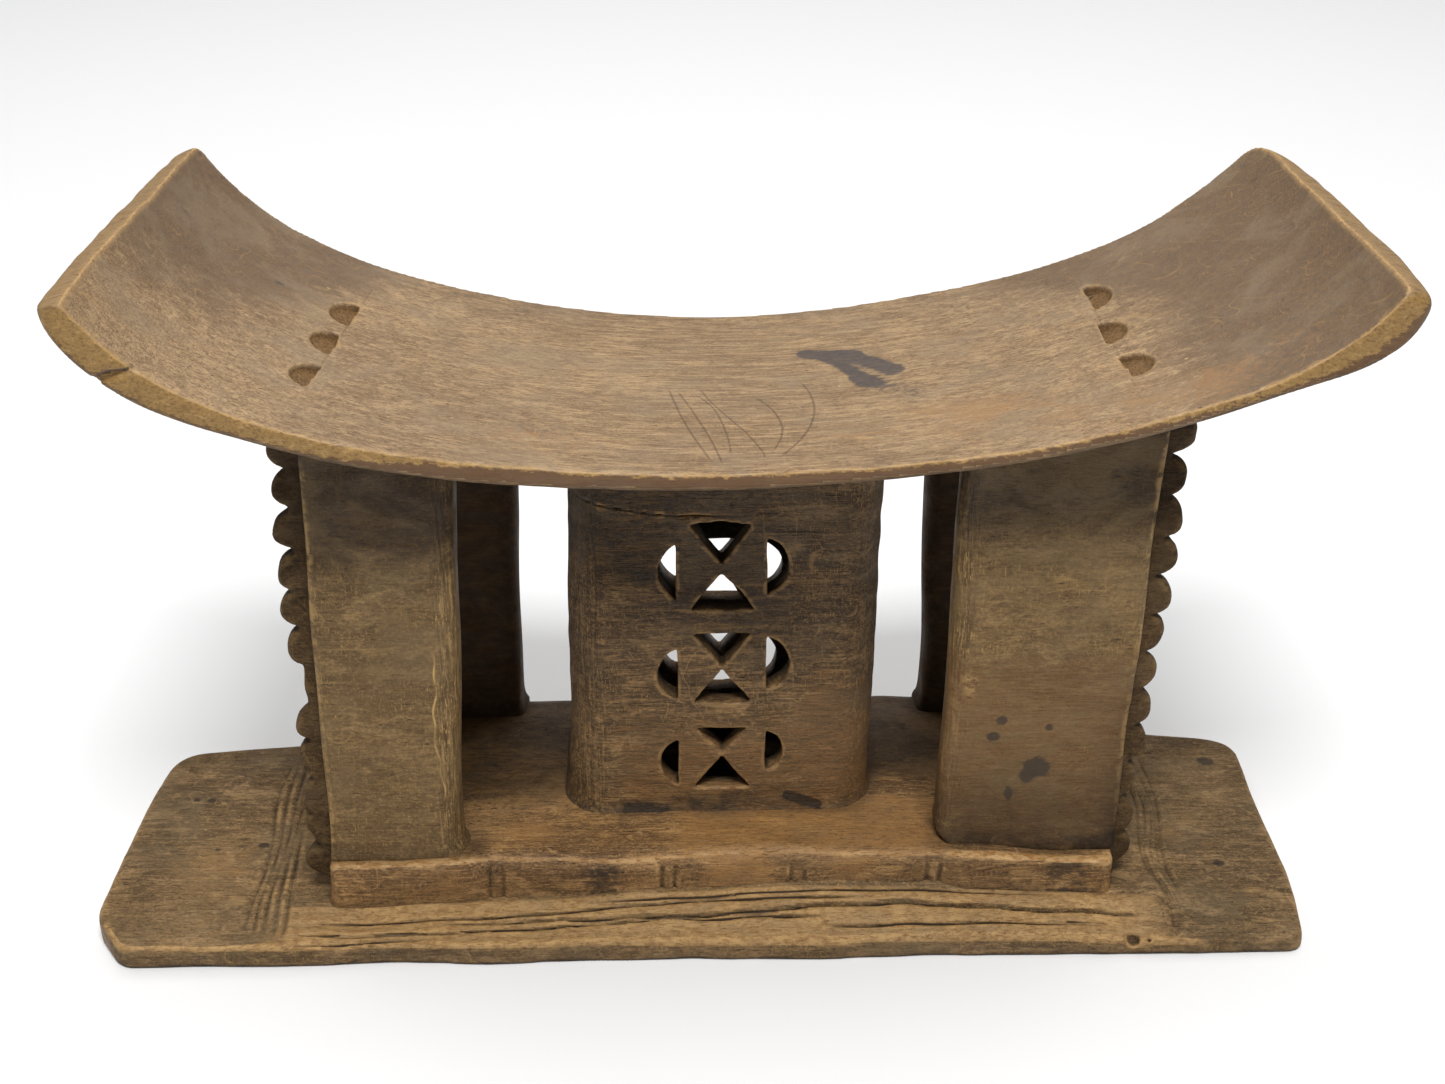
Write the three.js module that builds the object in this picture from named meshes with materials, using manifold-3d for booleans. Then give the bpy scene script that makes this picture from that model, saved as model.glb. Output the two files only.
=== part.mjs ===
// Asante-style carved wooden stool: a curved seat on four corner posts and a
// hollow pierced column, standing on a stepped base. Millimetres, +X to the
// sitter's side, +Y to the back, +Z up, origin under the middle of the stool.
import * as THREE from 'three';
import { mergeVertices } from 'three/addons/utils/BufferGeometryUtils.js';
import Module from 'manifold-3d';

const wasm = await Module();
wasm.setup();

// ---- driving dimensions --------------------------------------------------

const GAP = 0.3; // clearance between neighbouring members

const SEAT = {
  centreX: 11.5, // the seat sits a little right of the base
  centreY: 2.3,
  halfLength: 241, // along the upper ridge, centre to tip
  lowZ: 225, // lowest point of the dished top
  dish: { square: 59, fourth: -30, eighth: 46 }, // rise at the tips, by power
  halfDepth: 88.2, // at the tips
  backTaper: 0.07, // how much shorter the back edge is than the front edge
  waist: 8.5, // how far the long edges draw in at the middle
  edgeThickness: 8,
  middleThickness: 14,
  steps: 44,
};

const BASE = { left: -260, right: 253, front: -90.5, back: 56, backBow: 16, thickness: 14 };
const BASE_CORNER = { front: 13, back: 17 }; // corner radii in plan
const BASE_FRONT_EDGE = { thickness: 8, slopeStart: -67 }; // the worn front slope

const PLINTH = { left: -162, right: 172.5, front: -66.2, back: 65, topZ: 36 };
const GROOVE = { width: 6.5, depth: 1.5, xs: [-91, -17.5, 38, 96] };

const POST_THICKNESS = 17;
const POSTS = {
  front_left_post: { front: -61.5, outer: [-162, -157], inner: [-105, -97] },
  front_right_post: { front: -57.5, outer: [173, 180], inner: [96.5, 100] },
  rear_left_post: { front: 46.5, outer: [-161, -156], inner: [-89, -86] },
  rear_right_post: { front: 46.5, outer: [173, 179], inner: [106, 101] },
}; // outer and inner x are given at the foot and at the top

const POST_TOP_Z = 245; // height at which the top x values above apply
const ABOVE_SEAT_Z = 262; // supports start this high and are cut to the seat

const FIN = { thickness: 8, setBack: 5, lobes: 12, topZ: 236, radius: 9, root: 1.2 };
const BROKEN_LOBES = { front_left_fin: [6] }; // counted from the top, from 0

const COLUMN = { left: -56.5, right: 71, front: -31.3, back: 47, cornerRadius: 18, wall: 9 };

// Pierced rows, from the top. Each is two triangles tip to tip between two
// half moons: the height of the tips, the edges of the triangles above and
// below, their half width, and the two moons' lowest and highest points.
const PIERCED_MIDDLE_X = 6;
const MOON = { inner: 18.8, bulge: 8.3 };
const FRONT_ROWS = [
  { tips: 159, top: 178.5, bottom: 138.7, halfWidth: 13, left: [143.7, 170.3], right: [146, 172.7] },
  { tips: 110.1, top: 127, bottom: 92.5, halfWidth: 13, left: [94.2, 119.8], right: [98.8, 125.2] },
  { tips: 66, top: 79.6, bottom: 49, halfWidth: 11.7, left: [50, 73], right: [57, 77.8] },
];
const REAR_ROWS = [
  { tips: 170, top: 181, bottom: 150, halfWidth: 11, left: [157, 180], right: [156, 181] },
  { tips: 121.5, top: 132, bottom: 102.8, halfWidth: 10, left: [110.6, 134], right: [108.5, 134] },
  { tips: 73.5, top: 87, bottom: 55.6, halfWidth: 11, left: [64.5, 86], right: [59.6, 85] },
];
const WEB = 1.6; // wood left between the two tips

// ---- solids and meshes ---------------------------------------------------

function solid(geometry) {
  const bare = geometry.index ? geometry.toNonIndexed() : geometry.clone();
  bare.deleteAttribute('normal');
  bare.deleteAttribute('uv');
  const merged = mergeVertices(bare, 1e-4);
  return new wasm.Manifold(new wasm.Mesh({
    numProp: 3,
    vertProperties: new Float32Array(merged.attributes.position.array),
    triVerts: new Uint32Array(merged.index.array),
  }));
}

function geometryOf(body) {
  const mesh = body.getMesh();
  const geometry = new THREE.BufferGeometry();
  geometry.setAttribute('position', new THREE.BufferAttribute(mesh.vertProperties, 3));
  geometry.setIndex(new THREE.BufferAttribute(mesh.triVerts, 1));
  geometry.computeVertexNormals();
  return geometry;
}

function extrude(shape, depth, curveSegments = 6) {
  return new THREE.ExtrudeGeometry(shape, { depth, bevelEnabled: false, curveSegments });
}

// A plan outline (x, y) made into a solid between two heights.
function upright(shape, lowZ, highZ, curveSegments) {
  return solid(extrude(shape, highZ - lowZ, curveSegments).translate(0, 0, lowZ));
}

// A front outline (x, z) made into a solid between two depths.
function frontToBack(shape, frontY, backY, curveSegments) {
  return solid(extrude(shape, backY - frontY, curveSegments).rotateX(Math.PI / 2).translate(0, backY, 0));
}

// A side outline (y, z) made into a solid between two x values.
function leftToRight(shape, leftX, rightX) {
  const geometry = extrude(shape, rightX - leftX).rotateX(Math.PI / 2).rotateZ(Math.PI / 2);
  return solid(geometry.translate(leftX, 0, 0));
}

function polygon(points) {
  return new THREE.Shape(points.map(([x, y]) => new THREE.Vector2(x, y)));
}

// The same outline without points that all but coincide.
function distinct(points) {
  const kept = points.filter((p, i) => p.distanceTo(points.at(i - 1)) > 0.05);
  return new THREE.Shape(kept);
}

function roundedRectangle(left, right, low, high, radius) {
  const shape = new THREE.Shape();
  shape.moveTo(left + radius, low);
  shape.absarc(right - radius, low + radius, radius, -Math.PI / 2, 0, false);
  shape.absarc(right - radius, high - radius, radius, 0, Math.PI / 2, false);
  shape.absarc(left + radius, high - radius, radius, Math.PI / 2, Math.PI, false);
  shape.absarc(left + radius, low + radius, radius, Math.PI, 1.5 * Math.PI, false);
  return shape;
}

const group = new THREE.Group();

function addPart(name, body, look) {
  const mesh = new THREE.Mesh(geometryOf(body), new THREE.MeshStandardMaterial({
    color: look.color, roughness: look.roughness, metalness: 0,
  }));
  mesh.name = name;
  group.add(mesh);
}

const LOOK = {
  seat: { color: 0xa88a6a, roughness: 0.55 },
  post: { color: 0x6b5438, roughness: 0.7 },
  fin: { color: 0x4a3722, roughness: 0.85 },
  column: { color: 0x554330, roughness: 0.7 },
  plinth: { color: 0x6e5437, roughness: 0.75 },
  base: { color: 0x77603f, roughness: 0.75 },
};

// ---- seat ----------------------------------------------------------------

function seatTopZ(x) {
  const t = (x - SEAT.centreX) / SEAT.halfLength;
  const { square, fourth, eighth } = SEAT.dish;
  return SEAT.lowZ + square * t ** 2 + fourth * t ** 4 + eighth * t ** 8;
}

class SeatCurve extends THREE.Curve {
  getPoint(u, target = new THREE.Vector3()) {
    const x = SEAT.centreX + SEAT.halfLength * (2 * u - 1);
    return target.set(x, SEAT.centreY, seatTopZ(x));
  }
}

// The slab: a section with a flat top and a crowned underside, swept along the
// dished curve. The section's x runs forward and its y runs down.
function sweptSeat(lift, edge, middle) {
  const half = SEAT.halfDepth + 1;
  const section = new THREE.Shape();
  section.moveTo(-half, -lift);
  section.lineTo(half, -lift);
  section.lineTo(half, edge);
  section.quadraticCurveTo(0, 2 * middle - edge, -half, edge);
  const options = { steps: SEAT.steps, extrudePath: new SeatCurve(), curveSegments: 8 };
  return solid(taperToBack(new THREE.ExtrudeGeometry(section, options)));
}

// Shortens the seat steadily towards the back, about its middle.
function taperToBack(geometry) {
  const { position } = geometry.attributes;
  for (let i = 0; i < position.count; i += 1) {
    const backness = (position.getY(i) - SEAT.centreY) / (2 * SEAT.halfDepth) + 0.5;
    const shrink = SEAT.backTaper * backness;
    position.setX(i, SEAT.centreX + (position.getX(i) - SEAT.centreX) * (1 - shrink));
  }
  return geometry;
}

// Plan outline of the seat: long edges drawn in at the middle.
function seatPlan() {
  const left = SEAT.centreX - SEAT.halfLength - 20;
  const right = SEAT.centreX + SEAT.halfLength + 20;
  const front = SEAT.centreY - SEAT.halfDepth;
  const back = SEAT.centreY + SEAT.halfDepth;
  const shape = new THREE.Shape();
  shape.moveTo(left, front);
  shape.quadraticCurveTo(SEAT.centreX, front + 2 * SEAT.waist, right, front);
  shape.lineTo(right, back);
  shape.quadraticCurveTo(SEAT.centreX, back - 2 * SEAT.waist, left, back);
  return shape;
}

function makeSeat() {
  const slab = sweptSeat(0, SEAT.edgeThickness, SEAT.middleThickness);
  return slab.intersect(upright(seatPlan(), 0, 400, 12));
}

// Everything from just below the seat's underside upwards, for cutting the
// tops of the supports.
function seatCutter() {
  return sweptSeat(60, SEAT.edgeThickness + GAP, SEAT.middleThickness + GAP);
}

// ---- base and plinth -----------------------------------------------------

function makeBase() {
  const { left, right, front, back, backBow, thickness } = BASE;
  const f = BASE_CORNER.front;
  const b = BASE_CORNER.back;
  const plan = new THREE.Shape();
  plan.moveTo(left + f, front);
  plan.lineTo(right - f / 2, front);
  plan.quadraticCurveTo(right, front, right, front + f / 2);
  plan.lineTo(right, back - b);
  plan.quadraticCurveTo(right, back, right - b, back);
  plan.quadraticCurveTo((left + right) / 2, back + 2 * backBow, left + b, back);
  plan.quadraticCurveTo(left, back, left, back - b);
  plan.lineTo(left, front + 1.6 * f);
  const side = polygon([
    [front - 5, -1], [back + 30, -1], [back + 30, thickness],
    [BASE_FRONT_EDGE.slopeStart, thickness], [front, BASE_FRONT_EDGE.thickness],
    [front - 5, BASE_FRONT_EDGE.thickness],
  ]);
  return upright(plan, 0, thickness + 1, 10).intersect(leftToRight(side, left - 5, right + 5));
}

function makePlinth() {
  const { left, right, front, back, topZ } = PLINTH;
  const block = roundedRectangle(left, right, front, back, 3);
  const lowZ = BASE.thickness + GAP;
  let body = upright(block, lowZ, topZ, 2);
  for (const x of GROOVE.xs) {
    const cut = polygon([
      [x - GROOVE.width / 2, front - 2], [x + GROOVE.width / 2, front - 2],
      [x + GROOVE.width / 2 - 1, front + GROOVE.depth], [x - GROOVE.width / 2 + 1, front + GROOVE.depth],
    ]);
    body = body.subtract(upright(cut, 0, topZ + 5));
  }
  return body;
}

// ---- posts and their scalloped fins --------------------------------------

const footZ = PLINTH.topZ + GAP;

// x on a leaning edge, from its x at the foot and at the top.
function edgeX([foot, top], z) {
  return foot + ((top - foot) * (z - footZ)) / (POST_TOP_Z - footZ);
}

function makePost(post) {
  const outline = polygon([
    [edgeX(post.outer, footZ), footZ], [edgeX(post.inner, footZ), footZ],
    [edgeX(post.inner, ABOVE_SEAT_Z), ABOVE_SEAT_Z], [edgeX(post.outer, ABOVE_SEAT_Z), ABOVE_SEAT_Z],
  ]);
  return frontToBack(outline, post.front, post.front + POST_THICKNESS).subtract(seatCutter());
}

// A thin plate against the post's outer edge, with round lobes down it. The
// plate's foot stands on the base, beside the end of the plinth.
function makeFin(post, broken = []) {
  const side = Math.sign(post.outer[0]);
  const lowZ = BASE.thickness + GAP;
  const pitch = (FIN.topZ - lowZ) / FIN.lobes;
  const plinthEnd = side < 0 ? PLINTH.left : PLINTH.right;
  const rootX = (z) => {
    const edge = edgeX(post.outer, Math.max(z, footZ));
    const clear = z < footZ + 1 ? Math.max(side * edge, side * plinthEnd) * side : edge;
    return clear + side * GAP;
  };
  const outline = new THREE.Shape();
  outline.moveTo(rootX(ABOVE_SEAT_Z), ABOVE_SEAT_Z);
  outline.lineTo(rootX(ABOVE_SEAT_Z) + side * FIN.root, ABOVE_SEAT_Z);
  for (let i = 0; i < FIN.lobes; i += 1) {
    const middle = FIN.topZ - pitch * (i + 0.5);
    const x = rootX(Math.max(middle, footZ + 2)) + side * FIN.root;
    if (broken.includes(i)) {
      outline.lineTo(x + side, middle);
    } else {
      const [start, end] = side > 0 ? [Math.PI / 2, -Math.PI / 2] : [Math.PI / 2, 1.5 * Math.PI];
      outline.absellipse(x, middle, FIN.radius, pitch / 2, start, end, side > 0);
    }
  }
  outline.lineTo(rootX(lowZ), lowZ);
  outline.lineTo(rootX(footZ), footZ + 1);
  const front = post.front + FIN.setBack;
  const plate = frontToBack(distinct(outline.getPoints(5)), front, front + FIN.thickness);
  return plate.subtract(seatCutter());
}

// ---- centre column -------------------------------------------------------

// One half moon: straight edge towards the middle, round edge outwards.
function halfMoon(side, [low, high]) {
  const x = PIERCED_MIDDLE_X + side * MOON.inner;
  const shape = new THREE.Shape();
  shape.moveTo(x, low);
  shape.quadraticCurveTo(x + side * 2 * MOON.bulge, (low + high) / 2, x, high);
  return shape;
}

// The cutters of one wall's pierced rows, between two depths.
function piercings(rows, frontY, backY) {
  const shapes = rows.flatMap((row) => {
    const left = PIERCED_MIDDLE_X - row.halfWidth;
    const right = PIERCED_MIDDLE_X + row.halfWidth;
    return [
      polygon([[left, row.top], [PIERCED_MIDDLE_X, row.tips + WEB], [right, row.top]]),
      polygon([[left, row.bottom], [right, row.bottom], [PIERCED_MIDDLE_X, row.tips - WEB]]),
      halfMoon(-1, row.left),
      halfMoon(1, row.right),
    ];
  });
  return shapes.map((shape) => frontToBack(shape, frontY, backY, 8));
}

function makeColumn() {
  const { left, right, front, back, cornerRadius, wall } = COLUMN;
  const outside = roundedRectangle(left, right, front, back, cornerRadius);
  const inside = roundedRectangle(left + wall, right - wall, front + wall, back - wall, cornerRadius + 6);
  let body = upright(outside, footZ, ABOVE_SEAT_Z, 5)
    .subtract(upright(inside, footZ - 5, ABOVE_SEAT_Z + 5, 5));
  const middleY = (front + back) / 2;
  for (const cutter of piercings(FRONT_ROWS, front - 5, middleY)) body = body.subtract(cutter);
  for (const cutter of piercings(REAR_ROWS, middleY, back + 5)) body = body.subtract(cutter);
  return body.subtract(seatCutter());
}

// ---- the assembly --------------------------------------------------------

addPart('seat', makeSeat(), LOOK.seat);
addPart('centre_column', makeColumn(), LOOK.column);
for (const [name, post] of Object.entries(POSTS)) {
  const finName = name.replace('_post', '_fin');
  addPart(name, makePost(post), LOOK.post);
  addPart(finName, makeFin(post, BROKEN_LOBES[finName]), LOOK.fin);
}
addPart('plinth', makePlinth(), LOOK.plinth);
addPart('base', makeBase(), LOOK.base);

export default group;
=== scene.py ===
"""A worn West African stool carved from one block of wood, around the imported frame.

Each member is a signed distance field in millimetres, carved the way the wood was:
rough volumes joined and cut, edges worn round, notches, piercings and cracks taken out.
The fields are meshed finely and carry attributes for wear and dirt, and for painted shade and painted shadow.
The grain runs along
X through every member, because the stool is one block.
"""

import bpy
import numpy as np
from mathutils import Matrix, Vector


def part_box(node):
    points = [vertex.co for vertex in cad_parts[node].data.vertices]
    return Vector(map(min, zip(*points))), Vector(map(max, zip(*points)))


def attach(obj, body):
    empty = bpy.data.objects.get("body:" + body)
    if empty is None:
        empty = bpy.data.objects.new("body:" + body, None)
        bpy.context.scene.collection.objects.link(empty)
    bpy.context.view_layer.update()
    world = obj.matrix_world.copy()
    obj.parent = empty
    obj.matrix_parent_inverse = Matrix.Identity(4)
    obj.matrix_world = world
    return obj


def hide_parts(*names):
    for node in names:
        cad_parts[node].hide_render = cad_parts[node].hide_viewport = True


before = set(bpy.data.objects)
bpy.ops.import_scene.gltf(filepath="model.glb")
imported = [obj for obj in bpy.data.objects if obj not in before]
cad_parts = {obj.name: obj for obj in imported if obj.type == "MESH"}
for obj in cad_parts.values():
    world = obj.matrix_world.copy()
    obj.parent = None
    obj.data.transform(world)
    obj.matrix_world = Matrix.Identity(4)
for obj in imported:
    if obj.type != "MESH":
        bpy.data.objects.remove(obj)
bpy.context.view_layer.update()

import openvdb
from mathutils import Matrix, Vector

MM = 0.001


def node_box(name):
    """A CAD node's lowest and highest corner, in millimetres."""
    low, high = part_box(name)
    return np.array(low) / MM, np.array(high) / MM


# ---- fields --------------------------------------------------------------

EVEN = 400  # a noise cell so long that the noise hardly changes along it


def spline_weights(places, size):
    """Cubic spline weights of sample places on a lattice of the given cell size."""
    u = places / size + 1000.0
    cell = np.floor(u).astype(int)
    f = u - cell
    first = cell[0]
    weights = np.zeros((len(u), cell[-1] - first + 4), np.float32)
    rows = np.arange(len(u))
    shares = ((1 - f) ** 3, 3 * f**3 - 6 * f**2 + 4, -3 * f**3 + 3 * f**2 + 3 * f + 1, f**3)
    for k, share in enumerate(shares):
        weights[rows, cell - first + k] = share / 6
    return weights


class Grid:
    """A block of sample points in millimetres."""

    def __init__(self, low, high, step):
        self.step = step
        self.axes = [np.arange(a, b + step, step, dtype=np.float32) for a, b in zip(low, high)]
        self.x = self.axes[0][:, None, None]
        self.y = self.axes[1][None, :, None]
        self.z = self.axes[2][None, None, :]

    def noise(self, size, seed):
        """Smooth noise of unit strength, with cells of size (x, y, z) millimetres."""
        weights = [spline_weights(a, s) for a, s in zip(self.axes, size)]
        lattice = np.random.default_rng(seed).normal(0, 3, [w.shape[1] for w in weights])
        field = np.tensordot(weights[0], lattice.astype(np.float32), (1, 0))
        field = np.tensordot(field, weights[1], (1, 1))
        field = np.tensordot(field, weights[2], (1, 1))
        return field - field.mean()

    def tooled(self, seed, *layers):
        """Noises added up, as tool marks. Each layer: depth, and its cells' size along x, y and z."""
        return sum(depth * self.noise(size, seed + i) for i, (depth, *size) in enumerate(layers))

    def sample(self, field, points):
        """A field's values at points, by linear interpolation."""
        field = np.broadcast_to(field, [len(a) for a in self.axes])
        place = (points - [a[0] for a in self.axes]) / self.step
        cell = np.clip(place.astype(int), 0, np.array(field.shape) - 2)
        part = place - cell
        total = 0
        for corner in np.ndindex(2, 2, 2):
            weight = np.prod(np.where(corner, part, 1 - part), axis=1)
            total = total + weight * field[tuple((cell + corner).T)]
        return total


def worn_max(a, b, wear):
    """Intersection of two solids, its edge worn round over about wear millimetres."""
    h = np.maximum(wear - np.abs(a - b), 0) / wear
    return np.maximum(a, b) + h * h * wear / 4


def soft_min(a, b, blend):
    """Union of two solids, with a fillet."""
    return -worn_max(-a, -b, blend)


def carve(body, tool, wear):
    """A solid with another one cut out of it."""
    return worn_max(body, -tool, wear)


def ramp(low, high, value):
    """A smooth step from 0 at low to 1 at high."""
    t = np.clip((value - low) / (high - low), 0, 1)
    return t * t * (3 - 2 * t)


def bump(value, middle, width):
    return np.exp(-(((value - middle) / width) ** 2))


def window(value, start, full, fading, end):
    """Rises from 0 at start to 1 at full, stays, and falls to 0 again from fading to end."""
    return ramp(start, full, value) * ramp(end, fading, value)


def streak(x, y, start, end, width):
    """A soft mark along a straight stroke between two places."""
    run = np.subtract(end, start)
    along = np.clip(((x - start[0]) * run[0] + (y - start[1]) * run[1]) / (run @ run), 0, 1)
    gap = np.hypot(x - start[0] - along * run[0], y - start[1] - along * run[1])
    return bump(gap, 0, width)


def patches(x, y, rows):
    """Soft patches added up. Each row: strength, place and width along x, place and width along y."""
    return sum(share * bump(x, px, wide) * bump(y, py, tall) for share, px, wide, py, tall in rows)


LINE_SOFTNESS = 1.2


def drawn_lines(gaps, strengths):
    """Attributes for thin lines: a phase that is half way at each line, and how strong it is.

    gaps are the signed distances to the lines in millimetres.
    """
    phase = sum(0.5 + 0.5 * np.tanh(gap / LINE_SOFTNESS) for gap in gaps)
    nearest = np.argmin(np.abs(np.stack(gaps)), axis=0)
    return dict(lines=phase, drawn=np.take_along_axis(np.stack(strengths), nearest[None], 0)[0])


def between(value, low, high):
    """Distance outside a slab between two values."""
    return np.abs(value - (low + high) / 2) - (high - low) / 2


def rounded_box_2d(u, v, middle, half, radius):
    qu = np.abs(u - middle[0]) - (half[0] - radius)
    qv = np.abs(v - middle[1]) - (half[1] - radius)
    outside = np.hypot(np.maximum(qu, 0), np.maximum(qv, 0))
    return outside + np.minimum(np.maximum(qu, qv), 0) - radius


def ball(grid, centre, size, stretch=1.0):
    """Distance outside a ball, which may be stretched along x."""
    gaps = ((grid.x - centre[0]) / stretch, grid.y - centre[1], grid.z - centre[2])
    return np.sqrt(sum(gap**2 for gap in gaps)) - size


# ---- meshes --------------------------------------------------------------


def neighbour_sums(quads, values, count):
    a = np.concatenate([quads[:, i] for i in range(4)])
    b = np.concatenate([quads[:, (i + 1) % 4] for i in range(4)])
    sums = [np.bincount(a, values[b, i], count) + np.bincount(b, values[a, i], count)
            for i in range(values.shape[1])]
    return np.stack(sums, 1)


def smoothed(quads, values, rounds):
    count = len(values)
    shares = neighbour_sums(quads, np.ones((count, 1)), count)
    for _ in range(rounds):
        values = 0.5 * values + 0.5 * neighbour_sums(quads, values, count) / shares
    return values


def vertex_normals(points, quads):
    across = np.cross(points[quads[:, 2]] - points[quads[:, 0]], points[quads[:, 3]] - points[quads[:, 1]])
    normals = np.stack([sum(np.bincount(quads[:, k], across[:, i], len(points)) for k in range(4))
                        for i in range(3)], 1)
    return normals / np.maximum(np.linalg.norm(normals, axis=1, keepdims=True), 1e-9)


def add_object(name, data):
    thing = bpy.data.objects.new(name, data)
    bpy.context.scene.collection.objects.link(thing)
    return thing


PLAIN_MARKS = ("gold", "dirt_and_painted_shade", "stain", "warm", "painted_shadow", "scrape", "ripple", "lines", "drawn")
SIGNED_MARKS = ("lines", "drawn", "band", "brim", "notch")  # the others run from 0 to 1


def make_piece(name, node, grid, field, marks):
    """Meshes a field and hangs its attributes on it. marks gives named values at points."""
    level = 3 * grid.step
    vdb = openvdb.FloatGrid(level)
    full = np.broadcast_to(field, [len(a) for a in grid.axes])
    vdb.copyFromArray(np.clip(full, -level, level).astype(np.float32))
    points, quads = vdb.convertToQuads(isovalue=0.0)
    points = points.astype(float) * grid.step + [a[0] for a in grid.axes]
    quads = quads.astype(int)
    faces_in = np.einsum("ij,ij->i", points[quads[:, 0]], np.cross(points[quads[:, 1]], points[quads[:, 2]]))
    if faces_in.sum() < 0:
        quads = quads[:, ::-1]
    points = smoothed(quads, points, 1)
    normals = vertex_normals(points, quads)
    fine = np.einsum("ij,ij->i", points - smoothed(quads, points, 6), normals) / grid.step
    broad = np.einsum("ij,ij->i", points - smoothed(quads, points, 40), normals) / grid.step
    values = {"edge": 3.0 * fine, "crease": -3.0 * fine, "ridge": 0.7 * broad, "valley": -0.7 * broad}
    values.update(dict.fromkeys(PLAIN_MARKS, 0.0))
    values.update(marks(points, normals))
    mesh = bpy.data.meshes.new(name)
    mesh.vertices.add(len(points))
    mesh.vertices.foreach_set("co", (points * MM).astype(np.float32).ravel())
    mesh.loops.add(quads.size)
    mesh.loops.foreach_set("vertex_index", quads.astype(np.int32).ravel())
    mesh.polygons.add(len(quads))
    mesh.polygons.foreach_set("loop_start", np.arange(0, quads.size, 4, dtype=np.int32))
    mesh.polygons.foreach_set("use_smooth", np.ones(len(quads), bool))
    mesh.update(calc_edges=True)
    mesh.validate()
    for key, value in values.items():
        if key not in SIGNED_MARKS:
            value = np.clip(value, 0, 1)
        layer = mesh.attributes.new(key, "FLOAT", "POINT")
        layer.data.foreach_set("value", np.broadcast_to(value, len(points)).astype(np.float32))
    piece = add_object(name, mesh)
    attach(piece, "root")
    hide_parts(node)
    return piece


ROOT_DEPTH = 4.0  # how far members run into the one that they grow out of


# ---- seat ----------------------------------------------------------------

SEAT_LOW, SEAT_HIGH = node_box("seat")
SEAT_CENTRE_X, SEAT_CENTRE_Y = 11.5, 2.3
SEAT_HALF_LENGTH = 241.0
SEAT_LOW_Z = 225.0
SEAT_TIP_Z = 302.0
SEAT_HALF_DEPTH = 88.2
SEAT_BACK_TAPER = 0.058
SEAT_WAIST = 8.5
SEAT_MIDDLE_THICKNESS = 14.0
END_SLOPE = 3.4  # the ends are cut nearly level: millimetres outwards for one down
END_REACH = 11.5  # how far the ends' lower edges stand out past the tips

# where the carver left the dish high or low: place along, width, rise at the front and back
SWELLS = [
    (-0.60, 0.24, -2.7, -0.6), (-0.37, 0.24, -0.6, -3.0), (0.02, 0.26, 1.2, -0.4),
    (0.77, 0.17, 2.6, 3.4), (-0.84, 0.13, 0.0, 2.2), (0.90, 0.09, 0.8, 3.4),
]


def seat_top(x, y):
    """Height and slope of the dished top, and the place along it from -1 to 1."""
    backness = (y - SEAT_CENTRE_Y) / (2 * SEAT_HALF_DEPTH) + 0.5
    t = (x - SEAT_CENTRE_X) / (1 - SEAT_BACK_TAPER * backness) / SEAT_HALF_LENGTH
    u = np.clip(t, -1.12, 1.12)
    height = SEAT_LOW_Z + 59 * u**2 - 30 * u**4 + 46 * u**8
    for place, width, front, back in SWELLS:
        height = height + (front + (back - front) * backness) * bump(t, place, width)
    slope = (118 * u - 120 * u**3 + 368 * u**7) / SEAT_HALF_LENGTH
    return height, slope, t


def seat_edge_thickness(t):
    """Thickness of the slab at its front and back edges, square to the top."""
    left = 2.4 * ramp(-0.05, -0.45, t) + 4.6 * ramp(0.72, 0.96, -t)
    right = -0.5 * ramp(0.3, 0.6, t) + 8.6 * ramp(0.78, 1.02, t)
    return 5.1 + left + right


# the carved notches: straight edge x, middle y, length of the straight edge, bulge outwards,
# and how far the edge leans along x for one along y
NOTCHES = [
    (-146.1, 31.1, 22.6, -9.4, 0.12), (-149.7, -0.3, 20.0, -9.2, 0.03), (-153.3, -31.9, 20.0, -8.4, 0.17),
    (163.0, 40.1, 23.2, 8.6, -0.07), (161.8, 3.1, 20.8, 9.8, -0.02), (165.1, -31.3, 19.8, 10.2, -0.13),
]

# nicks along the front edge: x, size
NICKS = [(-51, 2.4), (28, 2.8), (-118, 1.4), (98, 1.8), (152, 2.2), (-172, 1.6), (66, 1.2), (201, 1.5)]

# the split in the left front edge: x and z of its middle, half its length, and where it ends inwards
SPLIT_X, SPLIT_Z = -211, 273.05
SPLIT_HALF_LENGTH = 12
SPLIT_END_Y = -83.0

# old scratches in the middle of the seat: from x, y to x, y, and how far they bow to the right
SCRATCHES = [
    (-14.9, 0, 2, -67, -1.5), (-11.5, -2, 6, -69, 1.5), (-2.2, 0, 9.2, -60, 2.5),
    (-4.3, -5, 23.3, -66, 3.5), (19.7, -8, 25.5, -58, 7), (39, 4.7, 27.1, -65, 9.5),
]

# stained strokes on the seat: strength, from x, y to x, y, and width
SEAT_STAINS = [
    (1.0, (43, 33), (61, 28), 5), (1.0, (61, 28), (78, 9), 5), (0.8, (52, 29), (66, 0), 4),
    (0.45, (66, 0), (86, -16), 8), (0.3, (-8, 4), (22, -4), 5), (0.35, (-223, 44), (-196, 30), 5),
]


def half_moon(x, y, edge, middle, length, bulge):
    """Plan distance to a half moon with a straight edge at x = edge."""
    radius = (length**2 / 4 + bulge**2) / (2 * abs(bulge))
    centre = edge + bulge - np.sign(bulge) * radius
    circle = np.hypot(x - centre, y - middle) - radius
    return np.maximum(circle, (edge - x) * np.sign(bulge))


def front_edge_y(t):
    return SEAT_CENTRE_Y - SEAT_HALF_DEPTH + SEAT_WAIST * (1 - np.clip(t, -1, 1) ** 2)


def seat_end(x, y, z):
    """Distance outside the cut at either end."""
    t = seat_top(x, y)[2]
    outward = np.abs(t) * SEAT_HALF_LENGTH - SEAT_HALF_LENGTH + END_SLOPE * (z - SEAT_TIP_Z)
    return outward / np.hypot(1, END_SLOPE)


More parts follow.
